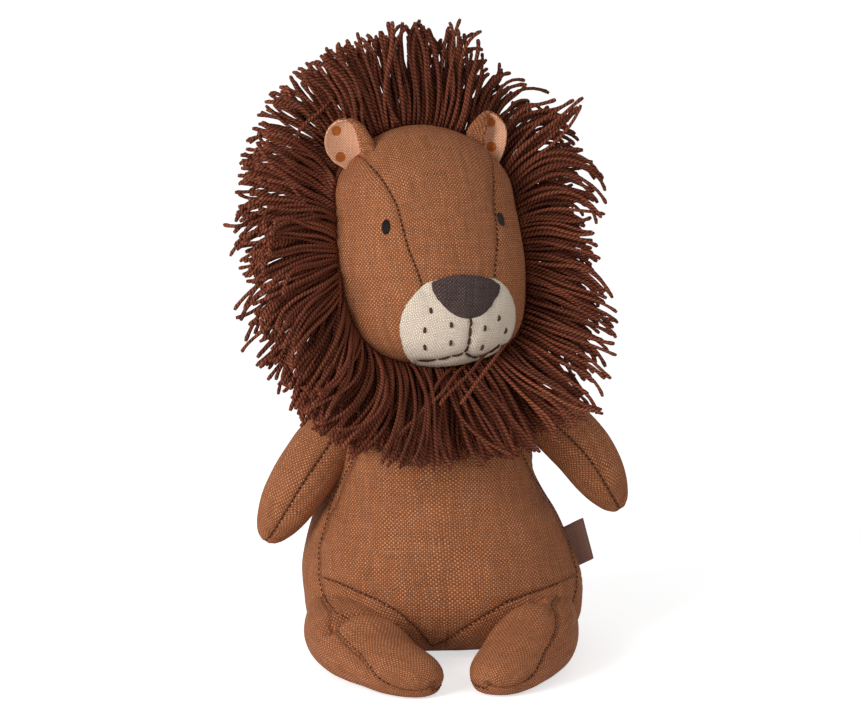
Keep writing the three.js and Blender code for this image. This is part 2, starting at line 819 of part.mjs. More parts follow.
// Mouth: one run of thread down from the nose, and one to each side
const fork_z = nose_top - nose_height - mouth_drop;
const mouth_line = (from, to) => {
  const ahead = new THREE.Vector2(to[0] - from[0], to[1] - from[1]).normalize().multiplyScalar(mouth_thread / 2);
  return prism(
    [
      [from[0] - ahead.x + ahead.y, from[1] - ahead.y - ahead.x],
      [to[0] + ahead.x + ahead.y, to[1] + ahead.y - ahead.x],
      [to[0] + ahead.x - ahead.y, to[1] + ahead.y + ahead.x],
      [from[0] - ahead.x - ahead.y, from[1] - ahead.y + ahead.x],
    ],
    -far,
    0,
  );
};
const mouth_points = mouth_curve_shares.map(([x, z]) => [x * mouth_half_width, fork_z + z * mouth_half_width]);
const mouth_blocks = [mouth_line([0, nose_top - nose_height - seam_gap - mouth_thread / 2], [0, fork_z])];
for (let i = 0; i + 1 < mouth_points.length; i += 1) {
  const [from, to] = [mouth_points[i], mouth_points[i + 1]];
  mouth_blocks.push(mouth_line(from, to));
  mouth_blocks.push(mouth_line([-from[0], from[1]], [-to[0], to[1]]));
}
const mouth_sheet = head_solid(on_muzzle + mouth_thread / 2).subtract(head_solid(on_muzzle));
head_pieces.push(["mouth_stitch", mouth_sheet.intersect(join(mouth_blocks)), thread]);

// Eyes
for (const [name, side] of [
  ["left", -1],
  ["right", 1],
]) {
  const eye_z = head_bottom + head_height * eye_height_share;
  const [, wide, front] = read_table(head_shares, eye_height_share);
  const across = side * Math.sin(radians(eye_angle));
  const ahead = -Math.cos(radians(eye_angle));
  const spread =
    Math.abs(across / (head_half_width * wide)) ** head_squareness +
    Math.abs(ahead / (head_front * front)) ** head_squareness;
  const reach = spread ** (-1 / head_squareness);
  const eye = new THREE.SphereGeometry(1, eye_sides, eye_sides / 2);
  eye.scale(eye_width / 2, eye_depth, eye_height / 2);
  eye.rotateZ(side * radians(eye_angle));
  eye.translate(across * reach, ahead * reach, eye_z);
  head_pieces.push([`eye_${name}`, solid_of(eye).subtract(head_solid(seam_gap)), black_brown, 0.35]);
}

// Ears
const ear_rooms = [];
for (const [name, side] of [
  ["left", -1],
  ["right", 1],
]) {
  const bend_radius = ear_width / radians(ear_cup);
  const half = smooth_half(ear_outline_shares, ear_width / 2, ear_height, 0, 0);
  const cup = (inner, outer) => {
    const ring = new THREE.CylinderGeometry(bend_radius + outer, bend_radius + outer, 2 * far, 2 * head_sides);
    const bore = new THREE.CylinderGeometry(bend_radius + inner, bend_radius + inner, 3 * far, 2 * head_sides);
    ring.rotateX(Math.PI / 2);
    bore.rotateX(Math.PI / 2);
    ring.translate(0, -bend_radius, 0);
    bore.translate(0, -bend_radius, 0);
    return solid_of(ring).subtract(solid_of(bore));
  };
  const right = half.map(([x, z]) => [x, z]);
  const left = half.map(([x, z]) => [-x, z]).filter(([x]) => x < 0);
  const disc = prism([...right.reverse(), ...left], -bend_radius, ear_width);
  const ear_z = head_bottom + head_height * ear_height_share;
  const [, wide, front] = read_table(head_shares, ear_height_share);
  const across = side * Math.sin(radians(ear_angle)) * head_half_width * wide;
  const ahead = -Math.cos(radians(ear_angle)) * head_front * front;
  const place = new THREE.Matrix4()
    .makeTranslation(across, ahead, ear_z)
    .multiply(new THREE.Matrix4().makeRotationY(radians(side * ear_splay)))
    .multiply(new THREE.Matrix4().makeRotationZ(radians(side * ear_facing)));
  const ear_cut = head_solid(seam_gap).add(tape_room);
  const layer = (inner, outer) => moved(cup(inner, outer).intersect(disc), place).subtract(ear_cut);
  head_pieces.push([`ear_${name}_lining`, layer(0, ear_layer), lining]);
  head_pieces.push([`ear_${name}_back`, layer(ear_layer + seam_gap, ear_layer + seam_gap + ear_layer), linen]);
  ear_rooms.push(layer(-running_gap - ear_layer, running_gap + ear_layer + seam_gap + ear_layer));
}
const ears_room = join(ear_rooms);

// Mane
function mane_lock(angle) {
  return Math.abs(Math.cos((Math.PI * angle) / mane_lock_angle));
}
function mane_section({ row, from, to }) {
  const gap_angle = THREE.MathUtils.radToDeg(seam_gap / 2 / head_half_width);
  const steps = Math.round((to - from) / mane_step);
  const columns = [];
  for (let i = 0; i <= steps; i += 1) {
    const angle = from + gap_angle + ((to - from - 2 * gap_angle) * i) / steps;
    const read_at = angle > 180 ? angle - 360 : angle;
    const [, front_share, back_share, front_slope] = read_table(mane_reach_shares, read_at);
    const is_front = row === "front";
    const reach_share = is_front ? front_share : back_share;
    const face_slope = is_front ? front_slope : -seam_gap;
    const back_slope = is_front ? 0 : -mane_back_slope;
    const face_offset = is_front ? tape_half : -seam_gap / 2;
    const back_offset = is_front ? seam_gap / 2 : -tape_half;
    const ends = [
      [face_offset, face_slope, 1],
      [back_offset, back_slope, -1],
    ].map(([offset, slope, way]) => {
      const edge = head_reach(angle, offset);
      const root = edge.start.clone().addScaledVector(edge.ahead, edge.reach + tape_high + seam_gap);
      const ahead = edge.ahead
        .clone()
        .multiplyScalar(Math.cos(radians(slope)))
        .addScaledVector(seam_front, Math.sin(radians(slope)));
      const length = mane_radius * reach_share - edge.reach + mane_lock_reach * (mane_lock(angle) - 1);
      const outer = is_front ? way > 0 : way < 0;
      return { root, ahead, length, swell: outer ? way * mane_lock_swell * mane_lock(angle) : 0 };
    });
    const column = mane_along_shares.map(([along, spread]) => {
      const [face, back] = ends.map((end) =>
        end.root
          .clone()
          .addScaledVector(end.ahead, end.length * along)
          .addScaledVector(seam_front, end.swell * along),
      );
      const middle = face.clone().add(back).multiplyScalar(1 / 2);
      return [face.lerp(middle, 1 - spread), back.lerp(middle, 1 - spread)];
    });
    // Round the section: out along the face side, back along the rear side
    columns.push([...column.map(([face]) => face), ...column.map(([, back]) => back).reverse()]);
  }
  const middle_of = (ring) =>
    ring.reduce((sum, p) => sum.add(p), new THREE.Vector3()).multiplyScalar(1 / ring.length);
  return skin_through(columns.map((ring) => ring.reverse()), middle_of(columns[0]), middle_of(columns[columns.length - 1]));
}
const head_back_way = head_place.clone().invert();
const torso_from_head = moved(torso_room(running_gap + seam_gap), head_back_way);
const arms_from_head = moved(join(arm_rooms), head_back_way);
const mane_room = join([torso_from_head, arms_from_head, ears_room, tape_room, head_solid(seam_gap)]);
for (const section of mane_sections) {
  head_pieces.push([section.name, mane_section(section).subtract(mane_room), yarn]);
}

for (const [name, solid, colour, roughness] of head_pieces) {
  keep(name, moved(solid, head_place), colour, roughness);
}

// Neck thread: the ring of ladder stitches, laid in the crease between the head and the torso
const thread_z = torso_height + seam_gap + neck_thread_radius;
const thread_reach = neck_ball_radius + running_gap + neck_thread_radius;
const thread_hoop_radius = Math.sqrt(thread_reach ** 2 - (neck_height - thread_z) ** 2);
const thread_loops = [];
for (let i = 0; i < neck_thread_steps; i += 1) {
  const turn = (i / neck_thread_steps) * 2 * Math.PI;
  const loop = [];
  for (let k = 0; k < neck_thread_sides; k += 1) {
    const round = (k / neck_thread_sides) * 2 * Math.PI;
    const radius = thread_hoop_radius + neck_thread_radius * Math.cos(round);
    loop.push(
      new THREE.Vector3(
        radius * Math.cos(turn) - lean_slope * thread_z,
        radius * Math.sin(turn),
        thread_z - neck_thread_radius * Math.sin(round),
      ),
    );
  }
  thread_loops.push(loop);
}
keep("neck_thread", hoop_through(thread_loops), thread);

// Tail
const tail_root = new THREE.Vector3(0, torso_back + running_gap, tail_height);
const tail_points = tail_route_points.map(([right, backwards, down]) => [
  tail_root.x + right,
  tail_root.y + backwards,
  tail_root.z - down,
]);
const tail_form = {
  points: tail_points,
  shares: tail_shares,
  half_width: tail_radius,
  half_height: tail_radius,
  sides: tail_sides,
  upright: [0, 1, 0],
};
const tail_curve = new THREE.CatmullRomCurve3(tail_points.map((p) => new THREE.Vector3(...p)));
const tail_end = tail_curve.getPointAt(1);
const tail_ahead = tail_curve.getTangentAt(1);
keep("tail", limb(tail_form), linen);
const tuft_start = tail_end.clone().addScaledVector(tail_ahead, seam_gap);
const tuft_end = tuft_start.clone().addScaledVector(tail_ahead, tuft_length);
tuft_end.z = tuft_radius - hip_flat;
const tuft_form = {
  points: [tuft_start, tuft_start.clone().lerp(tuft_end, 1 / 2), tuft_end].map((p) => p.toArray()),
  shares: tuft_shares,
  half_width: tuft_radius,
  half_height: tuft_radius,
  sides: 4 * tuft_ridges,
  ridges: tuft_ridges,
  ridge_share: tuft_ridge_share,
  upright: [0, 0, 1],
};
keep("tail_tuft", limb(tuft_form).subtract(below(0)), yarn);

// Side label
const label_thickness = 2 * label_ribbon + label_fold;
const [, label_wide] = read_table(torso_shares, label_height / torso_height);
const label_root_x = torso_half_width * label_wide - lean_slope * label_height;
const label_outer = new THREE.BoxGeometry(2 * label_reach, label_thickness, label_width);
const label_inner = new THREE.BoxGeometry(2 * label_reach, label_fold, label_width + cut_overrun);
label_inner.translate(-label_ribbon, 0, 0);
const label_place = new THREE.Matrix4()
  .makeTranslation(label_root_x, label_y, label_height)
  .multiply(new THREE.Matrix4().makeRotationY(radians(-label_tilt)));
const label_solid = moved(solid_of(label_outer).subtract(solid_of(label_inner)), label_place);
keep("side_label", label_solid.subtract(torso_room(seam_gap)), ribbon, 0.6);

const group = new THREE.Group();
group.name = "plush_lion";
for (const { name, solid, colour, roughness } of nodes) {
  const material = new THREE.MeshStandardMaterial({ color: colour, roughness, metalness: 0 });
  const mesh = new THREE.Mesh(geometry_of(solid.translate([shift_x, shift_y, 0])), material);
  mesh.name = name;
  group.add(mesh);
}

export default group;
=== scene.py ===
"""A seated plush lion: linen covers over stuffing, a mane of cut yarn, and a plain studio."""

import math

import bpy
import numpy as np
from mathutils import Matrix, Vector, noise
from mathutils.bvhtree import BVHTree


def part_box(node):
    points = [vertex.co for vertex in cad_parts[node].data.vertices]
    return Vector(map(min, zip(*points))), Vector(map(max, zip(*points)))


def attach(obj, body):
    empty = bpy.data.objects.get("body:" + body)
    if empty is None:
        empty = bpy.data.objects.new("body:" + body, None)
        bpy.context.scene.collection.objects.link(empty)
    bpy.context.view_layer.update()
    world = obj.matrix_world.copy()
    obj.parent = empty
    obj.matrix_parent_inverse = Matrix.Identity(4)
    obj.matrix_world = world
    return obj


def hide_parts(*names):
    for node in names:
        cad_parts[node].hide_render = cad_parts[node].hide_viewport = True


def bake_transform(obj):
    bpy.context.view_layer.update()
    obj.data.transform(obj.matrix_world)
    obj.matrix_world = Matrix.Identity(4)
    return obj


bl_info = {
    "name": "Plush Lion",
    "version": (1, 0, 0),
    "blender": (4, 5, 0),
    "location": "3D View > Sidebar > Lion",
    "description": "Builds a seated plush lion with linen covers and a yarn mane",
    "category": "Add Mesh",
}

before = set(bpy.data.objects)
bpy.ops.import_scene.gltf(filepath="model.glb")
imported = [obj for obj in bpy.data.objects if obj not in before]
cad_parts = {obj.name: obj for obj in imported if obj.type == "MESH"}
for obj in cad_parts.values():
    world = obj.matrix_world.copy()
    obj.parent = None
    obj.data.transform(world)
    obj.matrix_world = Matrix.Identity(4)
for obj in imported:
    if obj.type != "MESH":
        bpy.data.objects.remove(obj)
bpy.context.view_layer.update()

MM = 0.001
# Where the toy stands, how far the torso leans to the left, and the height about which the head turns
SHIFT = (3.802, 10.696)
LEAN = math.tan(math.radians(3.3))
NECK_HEIGHT = 111.4
HEAD_TURN = math.radians(16)
HEAD_TILT = math.radians(-0.8)
# How square a ring of the torso and of the head is: 2 is round
TORSO_SQUARENESS = 2.2
HEAD_SQUARENESS = 2.05

# Stuffed forms, in millimetres: height, half width, front depth, back depth
TORSO_ROWS = [
    (0.0, 0.0, 0.0, 0.0),
    (0.0, 20.0, 8.0, 16.0),
    (0.0, 34.5, 13.0, 27.0),
    (2.3, 40.5, 20.5, 31.3),
    (8.2, 44.0, 31.8, 34.4),
    (17.3, 45.5, 38.0, 36.0),
    (26.4, 45.5, 38.5, 36.0),
    (36.4, 43.2, 37.0, 34.6),
    (44.6, 40.5, 35.0, 32.6),
    (51.9, 37.0, 33.0, 30.6),
    (59.2, 34.1, 30.4, 28.4),
    (69.2, 31.9, 28.0, 26.5),
    (77.4, 28.0, 25.4, 24.3),
    (83.7, 23.9, 22.1, 21.6),
    (88.3, 19.6, 18.7, 18.4),
    (90.8, 13.0, 12.5, 12.4),
    (91.0, 0.0, 0.0, 0.0),
]
HEAD_ROWS = [
    (91.4, 0.0, 0.0, 0.0),
    (92.0, 4.9, 4.9, 4.9),
    (93.4, 8.7, 8.7, 8.7),
    (95.4, 12.4, 12.4, 12.4),
    (97.2, 15.5, 17.6, 15.0),
    (98.7, 18.4, 23.9, 18.5),
    (101.9, 25.8, 31.5, 23.1),
    (106.6, 30.6, 36.2, 28.4),
    (115.4, 33.2, 38.0, 32.0),
    (124.1, 33.7, 37.3, 33.0),
    (133.3, 33.4, 35.0, 33.0),
    (140.8, 32.6, 32.7, 32.5),
    (148.8, 31.3, 29.3, 31.0),
    (155.9, 30.2, 25.7, 28.4),
    (162.3, 26.5, 21.5, 24.1),
    (167.1, 21.8, 17.1, 19.5),
    (171.5, 14.9, 11.4, 13.2),
    (174.2, 6.9, 5.3, 6.3),
    (175.0, 0.0, 0.0, 0.0),
]
# Height, and half width of the belly panel at its side seams
SIDE_SEAM = [
    (0.0, 33.0), (8.0, 35.0), (16.9, 38.0), (21.7, 39.8), (27.0, 40.6), (36.6, 39.9), (43.7, 37.3),
    (49.5, 35.2), (58.0, 31.2), (65.5, 27.2), (72.0, 24.0), (81.0, 19.0), (91.0, 13.0),
]
# Across, and height of the seam where the legs' cloth joins the belly
HIP_SEAM = [
    (-46.0, 28.2), (-35.5, 27.2), (-29.6, 25.5), (-22.5, 22.9), (-15.7, 18.8), (-10.2, 13.0), (-5.0, 4.6),
    (1.0, 9.6), (6.2, 13.8), (12.7, 18.0), (19.3, 21.6), (27.0, 23.6), (35.4, 25.0), (46.0, 26.2),
]
# Height, and half width of the forehead's gusset
GUSSET_SEAM = [
    (119.0, 10.4), (125.3, 12.4), (131.0, 13.6), (138.4, 15.6), (146.4, 16.4), (151.0, 16.8), (154.9, 17.9),
    (159.4, 19.4), (163.3, 21.2), (167.5, 22.6), (180.0, 24.0),
]
SEAT_HEIGHT = 2.2
# Height, and how much fuller the torso is on its right; its seam there lies further out again
RIGHT_SIDE = [
    (0, 1.06), (26, 1.058), (31, 1.045), (38, 1.032), (45, 1.027), (53, 1.01), (59.5, 1.004), (66, 1.04),
    (72, 1.06), (91, 1.06),
]
RIGHT_SEAM = 1.066
MANE_SEAM_TOP = (0.0, 9.0, 175.0)
MANE_SEAM_BOTTOM = (0.0, -17.0, 95.5)

ARM_LEFT = [(-29.6, -3, 82.5), (-38.6, -6.5, 71), (-47.2, -9, 58.8), (-59.6, -10, 37.6)]
ARM_RIGHT = [(21, -1, 83), (34.2, -2, 77.8), (44.4, -3, 69), (60.2, -5, 45.1)]
# Place along the limb, half width and half depth
ARM_ROWS = [
    (0.0, 0.0, 0.0),
    (0.005, 2.0, 4.6),
    (0.03, 3.7, 8.0),
    (0.13, 6.7, 9.6),
    (0.27, 9.5, 10.0),
    (0.45, 10.2, 10.0),
    (0.62, 9.8, 9.4),
    (0.77, 8.6, 8.2),
    (0.89, 6.3, 6.2),
    (0.965, 3.7, 3.7),
    (0.995, 1.4, 1.5),
    (1.0, 0.0, 0.0),
]
LEG_LEFT = [(-31, -10, 12.7), (-33.3, -26, 11.1), (-30.4, -44, 9.1), (-21.6, -60, 7.1), (-9.2, -76, 4.4)]
LEG_RIGHT = [(29, -10, 12.7), (28.6, -26, 11.1), (25.6, -44, 9.1), (17.8, -60, 7.1), (7.6, -76, 4.4)]
# Ahead of the body, and height of the leg's seam on its outer and its inner side
LEG_SEAM = [
    (-78, 3.0, 2.4), (-73, 6.3, 2.8), (-70, 9.0, 3.4), (-64, 12.0, 4.6), (-55, 14.8, 6.4), (-47, 17.0, 8.5),
    (-35, 20.4, 12), (-20, 21.8, 16), (-5, 22.0, 20),
]
# Across and ahead: where the cloth on top of each leg folds
LEG_FOLD = {
    "left": [(-39.5, -50), (-37, -47), (-31.5, -44.4), (-23.2, -42.6), (-17.3, -43), (-12, -46.5), (-9, -51)],
    "right": [(5, -50), (8.5, -45.5), (14, -41.5), (20, -38.5), (26, -37), (32, -37)],
}
LEG_ROWS = [
    (-0.2, 0.0, 0.0),
    (-0.192, 4.5, 4.5),
    (-0.165, 8.6, 8.6),
    (-0.12, 11.9, 11.9),
    (-0.06, 14.2, 14.0),
    (0.02, 14.6, 13.6),
    (0.14, 14.5, 12.7),
    (0.28, 14.5, 11.8),
    (0.43, 14.0, 10.8),
    (0.58, 13.5, 9.7),
    (0.72, 12.7, 8.8),
    (0.84, 11.4, 7.9),
    (0.92, 9.3, 6.9),
    (0.97, 6.6, 5.3),
    (0.992, 3.8, 3.3),
    (1.0, 0.0, 0.0),
]
HIP = (31.0, -10.0, 14.3)
TAIL_ROUTE = [(0, 0, 0), (0, 7, 3), (3, 12, 9.5), (12, 14, 12.8), (21, 12, 12.9)]
TAIL_ROWS = [
    (0.0, 0.0, 0.0), (0.01, 1.5, 1.5), (0.05, 2.5, 2.5), (0.14, 3.2, 3.2), (0.5, 3.2, 3.2), (0.9, 3.1, 3.1),
    (0.99, 2.4, 2.4), (1.0, 0.0, 0.0),
]

# Degrees clockwise from the top, reach of the front row and of the back row, forward slope of the front row
MANE_REACH = [
    (-180, 1.12, 1.0, 22),
    (-162, 1.18, 1.0, 22),
    (-147, 1.22, 1.0, 22),
    (-130, 1.12, 0.98, 24),
    (-110, 1.015, 0.965, 22),
    (-90, 0.897, 0.878, 22),
    (-64, 0.965, 0.956, 16),
    (-48, 1.02, 1.01, 8),
    (-30, 1.06, 1.05, 5),
    (0, 1.1, 1.08, 5),
    (18, 1.092, 1.082, 5),
    (33, 1.04, 1.03, 5),
    (40, 1.034, 1.023, 6),
    (52, 1.06, 1.039, 8),
    (64, 0.989, 0.979, 16),
    (90, 0.824, 0.824, 22),
    (117, 0.936, 0.9, 22),
    (135, 1.072, 0.94, 24),
    (146, 1.154, 0.97, 22),
    (160, 1.158, 0.99, 22),
    (180, 1.12, 1.0, 22),
]
# Angle round the face, and how far a strand turns clockwise at its root and at its tip
MANE_TURNS = [
    (-180, 0, 0),
    (-165, -8, 14),
    (-150, -24, 20),
    (-135, -32, 14),
    (-118, -36, -6),
    (-105, -18, -18),
    (-90, 6, -14),
    (-70, 8, -12),
    (-50, 5, -14),
    (-30, 2, -8),
    (-10, -3, 4),
    (8, 3, -3),
    (20, -4, 6),
    (32, -6, 14),
    (40, -14, 44),
    (55, -16, 50),
    (70, -12, 38),
    (90, -4, 22),
    (105, 4, 20),
    (120, 6, 6),
    (135, -6, -16),
    (150, 8, -20),
    (165, 8, -12),
    (180, 0, 0),
]
# Loose strands that cross the chin: angles between, turn, and rise
MANE_CROSSING = [(140, 150, 106, 24), (168, 175, 70, 20), (-102, -97, -66, 8)]
# The mane passes behind each ear: middle, half size, and how far back
MANE_BEHIND = [((-27.5, 169.5), (11.0, 13.0), 7.2), ((19.5, 169.0), (9.5, 12.5), 20.5)]
# CAD node, whether it is in front, and the angles between
MANE_PIECES = [
    ("mane_front_top_left", 1, -60, 0),
    ("mane_front_top_right", 1, 0, 60),
    ("mane_front_side_left", 1, -120, -60),
    ("mane_front_side_right", 1, 60, 120),
    ("mane_front_low_left", 1, -156, -120),
    ("mane_front_low_right", 1, 120, 156),
    ("mane_bib", 1, 156, 204),
    ("mane_back_top_left", 0, -60, 0),
    ("mane_back_top_right", 0, 0, 60),
    ("mane_back_side_left", 0, -120, -60),
    ("mane_back_side_right", 0, 60, 120),
    ("mane_back_low_left", 0, -180, -120),
    ("mane_back_low_right", 0, 120, 180),
]
MUZZLE_MIDDLE = (0.9, 112.4)
MUZZLE_OUTLINE = [
    (0.0, 16.2), (7.0, 16.0), (12.8, 14.4), (16.9, 10.4), (19.6, 5.4), (20.3, 0.6), (19.1, -5.6),
    (14.9, -11.3), (7.8, -15.4), (0.0, -16.6),
]
NOSE_MIDDLE = (1.6, 122.8)
NOSE_OUTLINE = [
    (0.0, 6.5), (4.7, 6.1), (8.8, 5.0), (11.9, 3.2), (11.2, 0.4), (8.1, -3.6), (4.3, -6.3), (0.0, -7.3),
]
EYES = {"left": (-21.0, 144.9), "right": (18.4, 145.2)}
WHISKERS = [
    (-10.8, 118.6), (-12.8, 112.3), (-12.2, 106.5), (-4.6, 113.8), (-4.5, 107.8), (7.3, 111.8), (12.9, 114.5),
    (16.2, 109.8), (7.2, 105.3), (14.4, 104.4),
]
MOUTH_DOWN = [(2.3, 115.6), (2.3, 112.6), (2.3, 109.2), (2.3, 106.4), (2.1, 103.7)]
MOUTH_LEFT = [(1.8, 103.6), (-2.4, 102.8), (-6.2, 101.6), (-11.4, 100.9)]
MOUTH_RIGHT = [(2.4, 103.5), (5.4, 101.8), (9.0, 100.9), (12.0, 102.2), (15.0, 103.8)]
MOUTH_LINES = (MOUTH_DOWN, MOUTH_LEFT, MOUTH_RIGHT)

# Thickness of the sewn cloths and of the ribbon, in millimetres
CLOTH_THICKNESS = 0.5
RIBBON_THICKNESS = 0.35
# Strands of the mane: angle that one lock takes up, locks that can be told apart, and share of stray ones
LOCK_ANGLE = 10.5
LOCKS = 260
STRAY_SHARE = 0.06
# Forward slope of the strands in the last row, in degrees
BACK_SLOPE = -24
# Length of the way round the face, and half width of the band of rows on it, in millimetres
MANE_ROUND = 235
MANE_BAND = 4.3
# The label's root in the side seam and its fold, in millimetres, and its slope upwards and lean, in degrees
LABEL_ROOT = (44.5, 7.0, 31.7)
LABEL_FOLD = 0.45
LABEL_RISE = 25
LABEL_LEAN = 14.5
TUFT_STRANDS = 60
YARN_SIDES = 5
# Length of one turn of the plies of the yarn and the threads, in millimetres
YARN_LAY, SEAM_LAY, MOUTH_LAY = 2.8, 1.1, 1.5
# Share of a stitch's pitch that lies on top of the cloth
STITCH_SHARE = 0.6
# Rings of points from a patch's middle to its rim
PATCH_RINGS = 20
TUFT_LENGTH = 24
# Lamps: where each stands and how wide it is, in metres
LAMPS = {"key": ((-0.68, -0.68, 0.4), 0.4), "fill": ((0.85, -0.7, 0.35), 0.8)}
LAMP_AIM = (0, 0, 0.1)
FLOOR_SIZE = 12
# Frames in which the stuffing presses the cloth out
CLOTH_FRAMES = 20


class LionSizes(bpy.types.PropertyGroup):
    """Sizes of the threads, the yarn and the small pieces"""

    weave_pitch: bpy.props.FloatProperty(
        name="Weave pitch", description="From one thread of the linen to the next", default=0.65 * MM,
        unit="LENGTH",
    )
    stitch_pitch: bpy.props.FloatProperty(
        name="Stitch pitch", description="From one seam stitch to the next", default=1.75 * MM, unit="LENGTH"
    )
    stitch_thickness: bpy.props.FloatProperty(
        name="Stitch thickness", description="Thickness of the seam thread", default=0.5 * MM, unit="LENGTH"
    )
    mouth_thickness: bpy.props.FloatProperty(
        name="Mouth thread", description="Thickness of the thread of the mouth and whiskers",
        default=1.05 * MM, unit="LENGTH",
    )
    yarn_thickness: bpy.props.FloatProperty(
        name="Yarn thickness", description="Thickness of one strand of the mane", default=1.25 * MM,
        unit="LENGTH",
    )
    yarn_spacing: bpy.props.FloatProperty(
        name="Yarn spacing", description="From one strand to the next along a row", default=1.25 * MM,
        unit="LENGTH",
    )
    yarn_rows: bpy.props.IntProperty(
        name="Yarn rows", description="Rows of strands on the mane's tape", default=7, min=2
    )
    mane_radius: bpy.props.FloatProperty(
        name="Mane radius", description="From the middle of the face's seam to the yarn's ends",
        default=66 * MM, unit="LENGTH",
    )
    eye_width: bpy.props.FloatProperty(
        name="Eye width", description="Width of an embroidered eye", default=3.0 * MM, unit="LENGTH"
    )
    eye_height: bpy.props.FloatProperty(
        name="Eye height", description="Height of an embroidered eye", default=4.9 * MM, unit="LENGTH"
    )
    label_width: bpy.props.FloatProperty(
        name="Label width", description="Width of the ribbon in the side seam", default=14.2 * MM,
        unit="LENGTH",
    )
    label_reach: bpy.props.FloatProperty(
        name="Label reach", description="How far the folded ribbon stands out of the seam", default=9.4 * MM,
        unit="LENGTH",
    )


class LionColours(bpy.types.PropertyGroup):
    """Colours of the cloths, the yarn and the threads"""

    linen: bpy.props.FloatVectorProperty(
        name="Linen", description="Cloth of the head, torso, arms and legs", default=(0.405, 0.147, 0.062),
        subtype="COLOR", min=0, max=1,
    )
    cream: bpy.props.FloatVectorProperty(
        name="Cream linen", description="Cloth of the muzzle", default=(0.82, 0.68, 0.54), subtype="COLOR",
        min=0, max=1,
    )
    charcoal: bpy.props.FloatVectorProperty(
        name="Charcoal linen", description="Cloth of the nose", default=(0.078, 0.050, 0.044),
        subtype="COLOR", min=0, max=1,
    )
    lining: bpy.props.FloatVectorProperty(
        name="Ear lining", description="Printed cotton inside the ears", default=(0.80, 0.42, 0.26),
        subtype="COLOR", min=0, max=1,
    )
    dots: bpy.props.FloatVectorProperty(
        name="Dots", description="Dots on the ears' lining", default=(0.52, 0.145, 0.026), subtype="COLOR",
        min=0, max=1,
    )
    yarn: bpy.props.FloatVectorProperty(
        name="Yarn", description="Yarn of the mane and the tail's tuft", default=(0.168, 0.045, 0.023),
        subtype="COLOR", min=0, max=1,
    )
    thread: bpy.props.FloatVectorProperty(
        name="Thread", description="Thread of the mouth and whiskers", default=(0.085, 0.034, 0.02),
        subtype="COLOR", min=0, max=1,
    )
    seam_thread: bpy.props.FloatVectorProperty(
        name="Seam thread", description="Thread of the seams", default=(0.085, 0.03, 0.016), subtype="COLOR",
        min=0, max=1,
    )
    eyes: bpy.props.FloatVectorProperty(
        name="Eyes", description="Satin thread of the eyes", default=(0.012, 0.008, 0.007), subtype="COLOR",
        min=0, max=1,
    )
    ribbon: bpy.props.FloatVectorProperty(
        name="Ribbon", description="Woven ribbon of the bare label", default=(0.25, 0.125, 0.09),
        subtype="COLOR", min=0, max=1,
    )


class LionStage(bpy.types.PropertyGroup):
    """Camera and lamps"""

    azimuth: bpy.props.FloatProperty(
        name="Camera azimuth", description="Turn of the camera round the lion", default=math.radians(-5),
        subtype="ANGLE",
    )
    elevation: bpy.props.FloatProperty(
        name="Camera elevation", description="Rise of the camera above the floor", default=math.radians(9),
        subtype="ANGLE",
    )
    distance: bpy.props.FloatProperty(
        name="Camera distance", description="From the camera to the lion", default=1150 * MM, unit="LENGTH"
    )
    aim: bpy.props.FloatVectorProperty(
        name="Aim", description="Point that the camera looks at", default=(0, 10.7 * MM, 97 * MM),
        subtype="XYZ", unit="LENGTH",
    )
    focal_length: bpy.props.FloatProperty(
        name="Focal length", description="Lens in millimetres on a 36 mm sensor", default=144.4
    )
    key_power: bpy.props.FloatProperty(
        name="Key lamp", description="Power of the large soft lamp", default=6.4, unit="POWER"
    )
    fill_power: bpy.props.FloatProperty(
        name="Fill lamp", description="Power of the lamp on the other side", default=0.55, unit="POWER"
    )
    world_strength: bpy.props.FloatProperty(
        name="Room light", description="Strength of the even light from all round", default=0.4
    )


# ---------- reading tables and shaping ----------


def flow(place, knots, values):
    """Reads a table smoothly at any places between its rows."""
    knots, values = np.array(knots, float), np.array(values, float)
    slope = np.gradient(values, knots, axis=0)
    i = np.clip(np.searchsorted(knots, place) - 1, 0, len(knots) - 2)
    width = (knots[i + 1] - knots[i])[:, None]
    t = np.clip((place - knots[i])[:, None] / width, 0, 1)
    return (
        (2 * t**3 - 3 * t**2 + 1) * values[i]
        + (t**3 - 2 * t**2 + t) * width * slope[i]
        + (3 * t**2 - 2 * t**3) * values[i + 1]
        + (t**3 - t**2) * width * slope[i + 1]
    )


def length_along(line):
    """How far along a line of points each of them lies."""
    return np.r_[0, np.cumsum(np.linalg.norm(np.diff(line, axis=0), axis=1))]


def read_line(places, run, line):
    """Points of a line at any places along it."""
    return np.stack([np.interp(places, run, column) for column in line.T], 1)


def unit(ways, least=0.0):
    """The same directions, each of length 1."""
    return ways / (np.linalg.norm(ways, axis=-1)[..., None] + least)


def hill(off, width):
    """A bell curve: 1 where off is 0, and nearly 0 at twice the width."""
    return np.exp(-((off / width) ** 2))


def seam_width(table, height):
    """Half width of a seam at each height, and how steeply it changes."""
    heights, widths = np.array(table, float).T
    here = np.interp(height, heights, widths)
    above = np.interp(height + 1, heights, widths)
    return here, above - here


def fuller(table, height):
    """How much fuller a form's right side is at each height."""
    table = np.array(table, float)
    return flow(np.clip(height, *table[[0, -1], 0]), table[:, 0], table)[:, 1]


